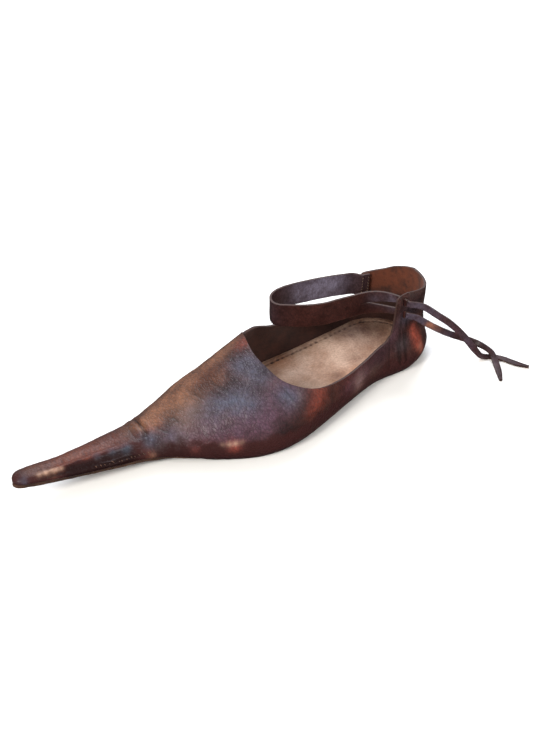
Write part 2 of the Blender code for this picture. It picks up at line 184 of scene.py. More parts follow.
def lastPoint(along, side, turn):
    # outer face of the upper: turn -1 at the lower edge, 0 at the bulge, 1 on the ridge;
    # along is negative round the heel
    along, turn = np.broadcast_arrays(np.asarray(along, float), np.asarray(turn, float))
    body = np.clip(along, 0, None)
    nose = np.clip((body - noseStart) / last["noseLength"], 0, 1)
    narrow = np.sqrt(np.clip(1 - nose ** 2, 0, 1))
    tipMiddle = (section("near", noseStart) + section("far", noseStart)) / 2
    width = section("near" if side > 0 else "far", body)
    width = np.where(nose > 0, tipMiddle + (width - tipMiddle) * narrow, width)
    middle = section("middle", body)
    middle = np.where(nose > 0, tipMiddle + (middle - tipMiddle) * narrow, middle)
    bulge = section("bulge", body)
    ridge = bulge + (section("ridge", body) - bulge) * narrow
    power = 2 / section("nearRound" if side > 0 else "farRound", body)
    angle = np.clip(turn, 0, 1) * math.pi / 2
    across = middle + (width - middle) * np.cos(angle) ** power
    height = bulge + (ridge - bulge) * np.sin(angle) ** power
    low = np.clip(-turn, 0, 1)
    draw = last["tuck"] * np.minimum(1, np.abs(width - middle) / last["tuckFullWidth"])
    across = across - np.sign(width - middle) * draw * low ** 2
    height = height - (bulge - upperRim(body)) * low
    climb = np.clip((height - bulge) / (last["collar"] - bulge), 0, 1)
    fade = np.clip(1 - body / last["hollowLength"], 0, 1)
    across = across - side * last["heelHollow"] * fade * np.sin(math.pi * climb) * (turn > 0)
    height = height + spring(body)
    wrap = np.clip(-along, 0, None) / last["heelRadius"]
    radius = np.abs(across)
    x = np.where(along < 0, -radius * np.sin(wrap), body)
    y = np.where(along < 0, side * radius * np.cos(wrap), across)
    return np.stack([x, y, height], -1)


def roughen(points, size, depth, seed):
    # gentle uneven values for many points, size is the length of one swelling
    return np.array([noise.noise(Vector(p) / size + Vector((seed, 0, 0))) for p in points]) * depth


def spots(points, rows):
    # soft round patches: centre x, y, z and radius in mm, then weight
    total = np.zeros(len(points))
    for x, y, z, radius, weight in rows:
        away = np.linalg.norm(points - np.array((x, y, z)) * mm, axis=1) / (radius * mm)
        total += weight * np.exp(-away ** 2)
    return np.clip(total, 0, 1)


def gridFaces(countLong, countWide, start=0):
    first = start + (np.arange(countLong - 1)[:, None] * countWide + np.arange(countWide - 1)[None, :])
    first = first.reshape(-1)
    return np.stack([first, first + countWide, first + countWide + 1, first + 1], -1)


def tubeFaces(rings, around, start=0):
    # the side and both ends of a closed tube
    faces = []
    for i in range(rings - 1):
        for j in range(around):
            a, b = start + i * around + j, start + i * around + (j + 1) % around
            faces.append((a, b, b + around, a + around))
    ends = start + np.arange(around)
    return faces + [tuple(ends), tuple(ends + (rings - 1) * around)]


def makePiece(name, vertices, faces, mergeDistance=0.00001):
    # a smooth-shaded mesh object, its doubled points merged and its faces turned outward
    mesh = bpy.data.meshes.new(name)
    mesh.from_pydata([tuple(v) for v in vertices], [], [tuple(int(i) for i in f) for f in faces])
    work = bmesh.new()
    work.from_mesh(mesh)
    bmesh.ops.remove_doubles(work, verts=work.verts, dist=mergeDistance)
    bmesh.ops.recalc_face_normals(work, faces=work.faces)
    work.to_mesh(mesh)
    work.free()
    mesh.polygons.foreach_set("use_smooth", [True] * len(mesh.polygons))
    mesh.update()
    thing = bpy.data.objects.new(name, mesh)
    bpy.context.scene.collection.objects.link(thing)
    return thing


def readPoints(thing):
    values = np.empty(len(thing.data.vertices) * 3)
    thing.data.vertices.foreach_get("co", values)
    return values.reshape(-1, 3)


def readNormals(thing):
    values = np.empty(len(thing.data.vertices) * 3)
    thing.data.vertex_normals.foreach_get("vector", values)
    return values.reshape(-1, 3)


def writePoints(thing, points):
    thing.data.vertices.foreach_set("co", np.asarray(points, float).reshape(-1))
    thing.data.update()


def paint(thing, name, values):
    # a painted weight that the material reads
    layer = thing.data.attributes.new(name, "FLOAT", "POINT")
    layer.data.foreach_set("value", np.asarray(values, np.float32))


def addMaterials(thing, *materials):
    for material in materials:
        thing.data.materials.append(material)


def thicken(thing, thickness, offset, inside=0, edge=0):
    solid = thing.modifiers.new("thickness", "SOLIDIFY")
    solid.thickness = thickness
    solid.offset = offset
    solid.use_even_offset = False
    solid.use_quality_normals = True
    solid.material_offset = inside
    solid.material_offset_rim = edge


def softenEdge(thing, width, segments=2):
    bevel = thing.modifiers.new("cutEdge", "BEVEL")
    bevel.width = width
    bevel.segments = segments
    bevel.limit_method = "ANGLE"
    bevel.angle_limit = math.radians(50)
    bevel.use_clamp_overlap = True


def newMaterial(name):
    # a new material, its tree, its shader and the place on the object
    material = bpy.data.materials.new(name)
    material.use_nodes = True
    tree = material.node_tree
    tree.nodes.clear()
    shader = addNode(tree, "BsdfPrincipled")
    addNode(tree, "OutputMaterial", {"Surface": shader})
    return material, tree, shader, addNode(tree, "TexCoord").outputs["Object"]


def painted(tree, name):
    return addNode(tree, "Attribute", attribute_name=name).outputs["Fac"]


def pattern(where, size, detail, roughness=0.5, **more):
    # inputs of a noise whose swellings are size mm long
    return {"Vector": where, "Scale": 1 / (size * mm), "Detail": detail, "Roughness": roughness, **more}


def span(value, low, high, least=0.0, most=1.0):
    # inputs of a map from low..high to least..most
    return {"Value": value, "From Min": low, "From Max": high, "To Min": least, "To Max": most}


def mixColour(tree, factor, first, second, blend="MIX"):
    node = addNode(tree, "Mix", {0: factor, 6: first, 7: second}, data_type="RGBA", blend_type=blend)
    return node.outputs[2]


def twoTone(tree, value, dark, light, low, high):
    amount = addNode(tree, "MapRange", span(value, low, high))
    return mixColour(tree, amount, linearColour(dark), linearColour(light))


def tintWhere(tree, colour, layer, tint, value, *limits):
    # a painted layer's colour, broken up by the pattern's value
    weight = addNode(tree, "MapRange", span(value, *limits))
    amount = addNode(tree, "Math", {0: painted(tree, layer), 1: weight},
                     operation="MULTIPLY", use_clamp=True)
    return mixColour(tree, amount, colour, linearColour(tint))


def shadeBy(tree, colour, value, *limits):
    shade = addNode(tree, "MapRange", span(value, *limits))
    return mixColour(tree, 1.0, colour, shade, "MULTIPLY")


# Waxed calf grain. Vegetable tanned calf, dyed, waxed and rubbed, so it is dark with a broad
# soft shine. The blue-grey sheen on the vamp is painted reflection, the plum and red patches are
# partly tone and partly painted sheen and reflection, and tan shows where the dye wore.
grainSettings = {
    "base": "43231c", "deep": "25120f", "blueSheen": "4a4c5c", "plum": "523846", "tan": "764f3a",
    "red": "92402e", "shadow": "371d1c", "pale": "c09c86",
    "pebble": 1.0,       # mm, real calf pores are about 0.3 mm, drawn coarser so that they show
    "wrinkle": 1.7,      # mm, cells between the fine cracks of the flexed grain
    "mottle": 12.0,      # mm, uneven uptake of the dye
    "fine": 2.0,         # mm, small hollows inside the cells
    "swell": 9.0,        # mm, slow unevenness of the hide
    "drift": 3.5, "bend": 2.2,               # mm, over what length and how far the pattern wanders
    "drawn": (1.0, 0.42, 0.6), "turned": 0.45,    # cells longer across the foot, and their angle
    "pebbleHeight": 0.07, "wrinkleHeight": 0.17, "fineHeight": 0.3, "swellHeight": 0.3,
    # painted layer, its colour, then the mottle from which and by which it comes through
    "tints": (("redToneAndReflection", "red", 0.25, 0.7), ("tanWear", "tan", 0.3, 0.7),
              ("plumToneAndSheen", "plum", 0.3, 0.68), ("paintedBlueSheen", "blueSheen", 0.32, 0.66)),
    "tintLeast": 0.3, "tintMost": 1.3,
    "roughLow": 0.32, "roughHigh": 0.48, "shine": 0.24, "wax": 0.05, "waxRoughness": 0.18,
    "foldShade": 0.25, "unlitShine": -0.7, "unlitRoughness": -0.08,
}


def grainHeight(tree, where, s):
    # pores, fine cracks, small hollows and slow swells as one height in mm
    drift = addNode(tree, "TexNoise", pattern(where, s["drift"], 2.0)).outputs["Color"]
    bent = addNode(tree, "VectorMath", {0: drift, 1: (s["bend"] * mm,) * 3, 2: where},
                   operation="MULTIPLY_ADD")
    pores = addNode(tree, "TexVoronoi", {"Vector": bent, "Scale": 1 / (s["pebble"] * mm)},
                    feature="SMOOTH_F1")
    drawn = addNode(tree, "Mapping", {"Vector": bent, "Rotation": (0, 0, s["turned"]), "Scale": s["drawn"]})
    cells = addNode(tree, "TexVoronoi", {"Vector": drawn, "Scale": 1 / (s["wrinkle"] * mm)},
                    feature="DISTANCE_TO_EDGE")
    cracks = addNode(tree, "MapRange", span(cells, 0.0, 0.2), interpolation_type="SMOOTHSTEP")
    hollows = addNode(tree, "TexNoise", pattern(drawn, s["fine"], 5.0, 0.65))
    swells = addNode(tree, "TexNoise", pattern(where, s["swell"], 2.0))
    height = 0.0
    for relief, tall in ((pores, "pebbleHeight"), (cracks, "wrinkleHeight"),
                         (hollows, "fineHeight"), (swells, "swellHeight")):
        height = addNode(tree, "Math", {0: relief, 1: s[tall], 2: height}, operation="MULTIPLY_ADD")
    return height, cracks, hollows


def makeGrain(name, s):
    material, tree, shader, where = newMaterial(name)
    height, cracks, hollows = grainHeight(tree, where, s)
    mottle = addNode(tree, "TexNoise", pattern(where, s["mottle"], 8.0, 0.66))
    colour = twoTone(tree, mottle, s["deep"], s["base"], 0.36, 0.64)
    # the red and plum layers are partly tone and partly painted reflection and sheen, the blue layer is
    # painted sheen
    for layer, tint, low, high in s["tints"]:
        colour = tintWhere(tree, colour, layer, s[tint], mottle, low, high, s["tintLeast"], s["tintMost"])
    colour = shadeBy(tree, colour, cracks, 0.0, 1.0, 0.72, 1.04)
    colour = shadeBy(tree, colour, hollows, 0.34, 0.6, 0.78, 1.1)
    # painted highlights in the pale colour
    colour = mixColour(tree, painted(tree, "paintedHighlight"), colour, linearColour(s["pale"]))
    # painted shade on sides turned from the light
    unlit = painted(tree, "shadowSide")
    colour = mixColour(tree, unlit, colour, linearColour(s["shadow"]))
    # painted shade in creases, under the point and along the low band
    colour = shadeBy(tree, colour, painted(tree, "paintedShade"), 0.0, 1.0, 1.0, s["foldShade"])
    rough = addNode(tree, "MapRange", span(mottle, 0.3, 0.7, s["roughLow"], s["roughHigh"]))
    rough = addNode(tree, "Math", {0: unlit, 1: s["unlitRoughness"], 2: rough}, operation="MULTIPLY_ADD")
    gloss = addNode(tree, "Math", {0: unlit, 1: s["unlitShine"] * s["shine"], 2: s["shine"]},
                    operation="MULTIPLY_ADD")
    bump = addNode(tree, "Bump", {"Height": height, "Distance": mm, "Strength": 1.0})
    setInputs(tree, shader, {"Base Color": colour, "Roughness": rough, "Specular IOR Level": gloss,
                             "Normal": bump, "IOR": 1.5, "Coat Weight": s["wax"],
                             "Coat Roughness": s["waxRoughness"]})
    return material


# Calf flesh side. Split and unfinished, so it is matt, fibrous and drinks the dye unevenly.
fleshSettings = {"base": "45241a", "light": "66341f", "deep": "2c160f",
                 "fibre": 1.6, "mottle": 8.0, "nap": 0.25}    # mm


def makeFlesh(name, s):
    material, tree, shader, where = newMaterial(name)
    mottle = addNode(tree, "TexNoise", pattern(where, s["mottle"], 7.0, 0.65))
    fibres = addNode(tree, "TexNoise", pattern(where, s["fibre"], 4.0, 0.7, Distortion=0.6))
    colour = twoTone(tree, mottle, s["deep"], s["base"], 0.3, 0.7)
    # paler where painted light falls inside the heel back, and a paler flesh tone on the tie ends
    colour = tintWhere(tree, colour, "fleshToneAndLight", s["light"], mottle, 0.36, 0.6, 0.3, 1.15)
    bump = addNode(tree, "Bump", {"Height": fibres, "Distance": s["nap"] * mm, "Strength": 1.0})
    setInputs(tree, shader, {"Base Color": colour, "Normal": bump, "Roughness": 0.92, "IOR": 1.45,
                             "Sheen Weight": 0.05, "Sheen Roughness": 0.6})
    return material


# Knife-cut edge. Raw fibre between the dyed faces, so it is a paler, dry red-brown line.
edgeSettings = {"base": "2a1613", "pale": "44291f", "fibre": 1.2, "nap": 0.15}    # mm


def makeCutEdge(name, s):
    material, tree, shader, where = newMaterial(name)
    fibres = addNode(tree, "TexNoise", pattern(where, s["fibre"], 4.0))
    colour = twoTone(tree, fibres, s["base"], s["pale"], 0.35, 0.7)
    bump = addNode(tree, "Bump", {"Height": fibres, "Distance": s["nap"] * mm, "Strength": 1.0})
    setInputs(tree, shader, {"Base Color": colour, "Normal": bump, "Roughness": 0.7})
    return material


# Insole leather. The tan flesh side up, trodden smooth, with sweat stains and darker veins.
insoleSettings = {"base": "9d775f", "pale": "c4a590", "hole": "24140e", "stain": "533429",
                  "orange": "ac724d",
                  "mottle": 22.0, "vein": 16.0, "fibre": 1.4, "nap": 0.2,    # mm
                  "veinWidth": 0.035, "veinDepth": 0.1}                      # shares


def makeInsoleLeather(name, s):
    material, tree, shader, where = newMaterial(name)
    mottle = addNode(tree, "TexNoise", pattern(where, s["mottle"], 6.0, 0.6))
    fibres = addNode(tree, "TexNoise", pattern(where, s["fibre"], 5.0, 0.7))
    veins = addNode(tree, "TexNoise", pattern(where, s["vein"], 3.0, 0.5, Distortion=1.6))
    colour = twoTone(tree, mottle, s["base"], s["pale"], 0.35, 0.65)
    # a vein runs where the noise passes its middle value
    off = addNode(tree, "Math", {0: veins, 1: 0.5}, operation="SUBTRACT")
    off = addNode(tree, "Math", {0: off}, operation="ABSOLUTE")
    vein = addNode(tree, "MapRange", span(off, 0.0, s["veinWidth"], s["veinDepth"], 0.0))
    colour = mixColour(tree, vein, colour, linearColour(s["stain"]))
    # a warm tone, stains darkened further by painted shade by the wall, and painted shade in the stitch
    # holes
    for layer, tint in (("warm", "orange"), ("stainsAndShade", "stain"), ("holeShade", "hole")):
        colour = tintWhere(tree, colour, layer, s[tint], mottle, 0.3, 0.7, 1.2, 0.5)
    colour = shadeBy(tree, colour, fibres, 0.3, 0.7, 0.7, 1.2)
    bump = addNode(tree, "Bump", {"Height": fibres, "Distance": s["nap"] * mm, "Strength": 1.0})
    setInputs(tree, shader, {"Base Color": colour, "Normal": bump, "Roughness": 0.75, "IOR": 1.45})
    return material


# Sole bend leather. Thick, pressed and walked on, so it is scuffed, dusty and a little shiny.
soleSettings = {"base": "53321f", "worn": "8b6a50", "deep": "2a1811",
                "scuff": 5.0, "mottle": 18.0, "nap": 0.3,    # mm
                "drawn": (0.3, 1, 1), "turned": 0.2}         # scuffs run along the foot


def makeSoleLeather(name, s):
    material, tree, shader, where = newMaterial(name)
    mottle = addNode(tree, "TexNoise", pattern(where, s["mottle"], 7.0, 0.65))
    drawn = addNode(tree, "Mapping", {"Vector": where, "Rotation": (0, 0, s["turned"]),
                                      "Scale": s["drawn"]})
    scuffs = addNode(tree, "TexNoise", pattern(drawn, s["scuff"], 8.0, 0.75))
    colour = twoTone(tree, mottle, s["deep"], s["base"], 0.35, 0.65)
    colour = tintWhere(tree, colour, "trodden", s["worn"], scuffs, 0.5, 0.68)
    bump = addNode(tree, "Bump", {"Height": scuffs, "Distance": s["nap"] * mm, "Strength": 1.0})
    rough = addNode(tree, "MapRange", span(scuffs, 0.0, 1.0, 0.45, 0.75))
    setInputs(tree, shader, {"Base Color": colour, "Roughness": rough, "Normal": bump})
    return material


# Strap and thong leather. The same calf cut narrow and handled, satin, with a faint blue sheen.
strapSettings = dict(grainSettings, base="371f1c", deep="271513", tan="523329", plum="43333b",
                     blueSheen="7b7588", pale="9894ab", red="4d241e", shadow="231515",
                     fine=1.6, pebble=0.9, wrinkle=1.9, mottle=8.0,
                     swellHeight=0.15, wrinkleHeight=0.05, fineHeight=0.2)
thongSettings = dict(strapSettings, base="473031", deep="2b1a1b", blueSheen="4a3f4b", plum="4a2d34",
                     tan="a2664a", mottle=5.0)
thongFleshSettings = dict(fleshSettings, base="54342b", light="93614a", deep="342019", mottle=5.0)

# Waxed linen thread. Two plies twisted and drawn through wax, pale where the wax has rubbed off.
threadSettings = {"base": "86705c", "dark": "46352a", "ply": 0.8, "twist": 0.15}


def makeThread(name, s):
    material, tree, shader, where = newMaterial(name)
    plies = addNode(tree, "TexNoise", pattern(where, s["ply"], 3.0))
    colour = twoTone(tree, plies, s["dark"], s["base"], 0.35, 0.65)
    bump = addNode(tree, "Bump", {"Height": plies, "Distance": s["twist"] * mm})
    setInputs(tree, shader, {"Base Color": colour, "Normal": bump, "Roughness": 0.7})
    return material


calfGrain = makeGrain("waxedCalfGrain", grainSettings)
calfFlesh = makeFlesh("calfFleshSuede", fleshSettings)
cutEdge = makeCutEdge("calfCutEdge", edgeSettings)
insoleLeather = makeInsoleLeather("insoleFleshTrodden", insoleSettings)
soleLeather = makeSoleLeather("soleBendScuffed", soleSettings)
strapGrain = makeGrain("strapCalfSatin", strapSettings)
thongGrain = makeGrain("thongCalfSatin", thongSettings)
thongFlesh = makeFlesh("thongCalfFlesh", thongFleshSettings)
linenThread = makeThread("linenThreadWaxed", threadSettings)
tarredThread = makeThread("linenThreadTarred", dict(threadSettings, base="674530", dark="2e1b13"))
print("materials ready")


# Tie ends: x, y, z in mm along the middle, then 1 on edge or 0 flat
thongs = {
    "width": 0.005, "thickness": 0.0016, "steps": 12,
    "tipShare": 0.45, "tipLength": 0.011,
    "unevenSize": 0.009, "uneven": 0.09, "evenEnd": 0.01,    # knife-cut edges wander, less at the slit
    # x, y, z and radius in mm, then weight
    "rawPatches": ((-10, 43.8, 45.5, 4, 0.9), (-15, 44.8, 41.5, 4.2, 0.7), (-20, 45.3, 37.5, 3, 0.25)),
    "twistShade": ((-60, 57, 6, 8, 0.8), (-64, 66, 2, 6, 0.4)),
    "thong_upper": ((4.433, 34.98, 64.68, 1), (2.66, 37.6, 64.48, 1), (-1.77, 40.21, 63.57, 1),
                    (-7.09, 42.9, 60.52, 1), (-15.37, 47.0, 52.98, 1), (-26.6, 49.69, 42.51, 1),
                    (-39.3, 51.79, 28.02, 1), (-51.42, 54.8, 10.99, 0.8), (-57.92, 57.8, 2.8, 0.25),
                    (-64.42, 61.0, 1.17, 0), (-70.03, 67.51, 1.17, 0), (-74.47, 78.12, 1.17, 0),
                    (-79.49, 86.7, 1.17, 0)),
    "thong_lower": ((4.433, 34.98, 54.73, 1), (2.66, 37.6, 54.47, 1), (-1.77, 40.4, 52.59, 1),
                    (-8.27, 43.29, 47.0, 1), (-19.21, 45.2, 38.03, 1), (-31.62, 45.98, 28.47, 1),
                    (-45.8, 46.29, 18.53, 0.9), (-56.44, 48.79, 11.51, 0.7), (-62.94, 53.31, 7.22, 0.2),
                    (-65.6, 59.98, 4.42, 0), (-62.94, 67.2, 2.41, 0), (-58.21, 75.5, 1.17, 0),
                    (-50.83, 85.68, 1.17, 0)),
    # cross-section of a knife-cut strip: flat faces, soft corners, slightly cupped; grain side last
    "ring": ((-1, -0.5), (-0.93, -0.86), (-0.6, -1), (0, -0.96), (0.6, -1), (0.93, -0.86), (1, -0.5),
             (1, 0.5), (0.93, 0.86), (0.6, 0.97), (0, 0.9), (-0.6, 0.97), (-0.93, 0.86), (-1, 0.5)),
    "innerCorners": 7,
}


def ribbonFrame(points, stand):
    # unit vectors across a ribbon's width and through its thickness
    tangent = np.gradient(points, axis=0)
    tangent /= np.linalg.norm(tangent, axis=1)[:, None]
    level = np.stack([-tangent[:, 1], tangent[:, 0], np.zeros(len(points))], -1)
    level /= np.linalg.norm(level, axis=1)[:, None]
    upward = np.cross(tangent, level)
    angle = np.clip(stand, 0, 1)[:, None] * math.pi / 2
    wide = level * np.cos(angle) + upward * np.sin(angle)
    return wide, np.cross(tangent, wide)


def paintThong(piece, s, seed, raw):
    where = readPoints(piece)
    worn = spots(where, s["rawPatches"]) * raw
    # painted blue sheen, strongest near the slits
    nearSlit = ramp(where[:, 0], -24, -6)
    blueSheen = 0.12 + 0.7 * nearSlit + roughen(where, 0.012, 0.8, seed + 3)
    paint(piece, "paintedBlueSheen", (1 - worn) * np.clip(blueSheen, 0, 0.9))
    plum = 0.45 + roughen(where, 0.015, 0.9, seed + 5)
    paint(piece, "plumToneAndSheen", (1 - worn) * np.clip(plum, 0, 0.9))
    # painted shade at the twist, and darker towards the tips
    tips = 0.6 * ramp(where[:, 1], 64, 78)
    paint(piece, "shadowSide", np.maximum(spots(where, s["twistShade"]), tips))
    paint(piece, "fleshToneAndLight", np.clip(0.4 + roughen(where, 0.01, 0.9, seed + 7), 0, 1))
    paint(piece, "tanWear", worn)


def makeThong(name, s, seed, raw):
    rows = smoothRows(s[name], s["steps"])
    points, stand = rows[:, :3] * mm, rows[:, 3]
    wide, thick = ribbonFrame(points, stand)
    length = np.concatenate([[0], np.cumsum(np.linalg.norm(np.diff(points, axis=0), axis=1))])
    left = (length[-1] - length) / s["tipLength"]
    taper = s["tipShare"] + (1 - s["tipShare"]) * np.clip(left, 0, 1)
    uneven = 1 + roughen(points, s["unevenSize"], s["uneven"], seed) * np.clip(length / s["evenEnd"], 0, 1)
    half = s["width"] / 2 * np.minimum(taper * uneven, 1.0)
    body = np.stack([points + wide * (half * across)[:, None] + thick * (s["thickness"] / 2 * through)
                     for across, through in s["ring"]], 1)
    around = len(s["ring"])
    piece = makePiece(name + "_strip", body.reshape(-1, 3), tubeFaces(len(points), around))
    addMaterials(piece, thongGrain, thongFlesh, cutEdge)
    for polygon in piece.data.polygons:
        corners = {v % around for v in polygon.vertices}
        first = min(polygon.vertices) % around
        if len(polygon.vertices) == 4 and corners <= set(range(s["innerCorners"])):
            polygon.material_index = 1
        elif len(polygon.vertices) > 4 or first in (6, 13) or {0, around - 1} <= corners:
            polygon.material_index = 2    # the cut edges and both ends
    paintThong(piece, s, seed, raw)
    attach(piece, "root")
    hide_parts(name)


makeThong("thong_upper", thongs, 11, raw=0)
makeThong("thong_lower", thongs, 29, raw=1)    # this one has a paler orange patch past its slit, partly paler tone and partly painted highlight
print("tie ends ready")


# Upper: the top edge behind the throat, as foot, edge and turn of each column
nearEdge = (
    (0.470, 0.404, 1.000), (0.440, 0.407, 0.920), (0.408, 0.406, 0.820), (0.378, 0.399, 0.670),
    (0.348, 0.386, 0.560), (0.325, 0.366, 0.470), (0.296, 0.336, 0.375), (0.267, 0.306, 0.305),
    (0.233, 0.264, 0.240), (0.196, 0.216, 0.185), (0.158, 0.166, 0.162), (0.120, 0.122, 0.150),
    (0.090, 0.088, 0.144), (0.070, 0.066, 0.148), (0.056, 0.052, 0.190), (0.046, 0.0455, 0.275),
    (0.036, 0.041, 0.370), (0.028, 0.0375, 0.450), (0.018, 0.030, 0.486), (0.008, 0.016, 0.496),
    (-0.008, 0.001, 0.488), (-0.030, -0.026, 0.466), (-0.058, -0.056, 0.437), (-0.090, -0.090, 0.402),
    (-0.124, -0.124, 0.372), (-0.156, -0.156, 0.358), (-0.182, -0.182, 0.353), (-0.20731, -0.20731, 0.352),
)
farEdge = (
    (0.470, 0.404, 1.000), (0.436, 0.396, 0.880), (0.409, 0.384, 0.740), (0.386, 0.371, 0.590),
    (0.370, 0.360, 0.480), (0.356, 0.3525, 0.420), (0.342, 0.346, 0.385), (0.326, 0.334, 0.360),
    (0.308, 0.320, 0.335), (0.288, 0.303, 0.293), (0.264, 0.284, 0.235), (0.238, 0.258, 0.172),
    (0.210, 0.228, 0.135), (0.180, 0.194, 0.112), (0.146, 0.154, 0.092), (0.112, 0.114, 0.074),
    (0.078, 0.076, 0.058), (0.044, 0.040, 0.044), (0.012, 0.008, 0.034), (-0.014, -0.016, 0.031),
    (-0.032, -0.036, 0.034), (-0.045, -0.0470, 0.046), (-0.054, -0.0490, 0.070), (-0.061, -0.0460, 0.110),
    (-0.067, -0.0410, 0.155), (-0.073, -0.0370, 0.193), (-0.081, -0.0430, 0.213), (-0.093, -0.0640, 0.222),
    (-0.108, -0.0880, 0.234), (-0.124, -0.1100, 0.251), (-0.142, -0.1380, 0.286), (-0.160, -0.1600, 0.307),
    (-0.182, -0.1820, 0.329), (-0.20731, -0.20731, 0.352),
)

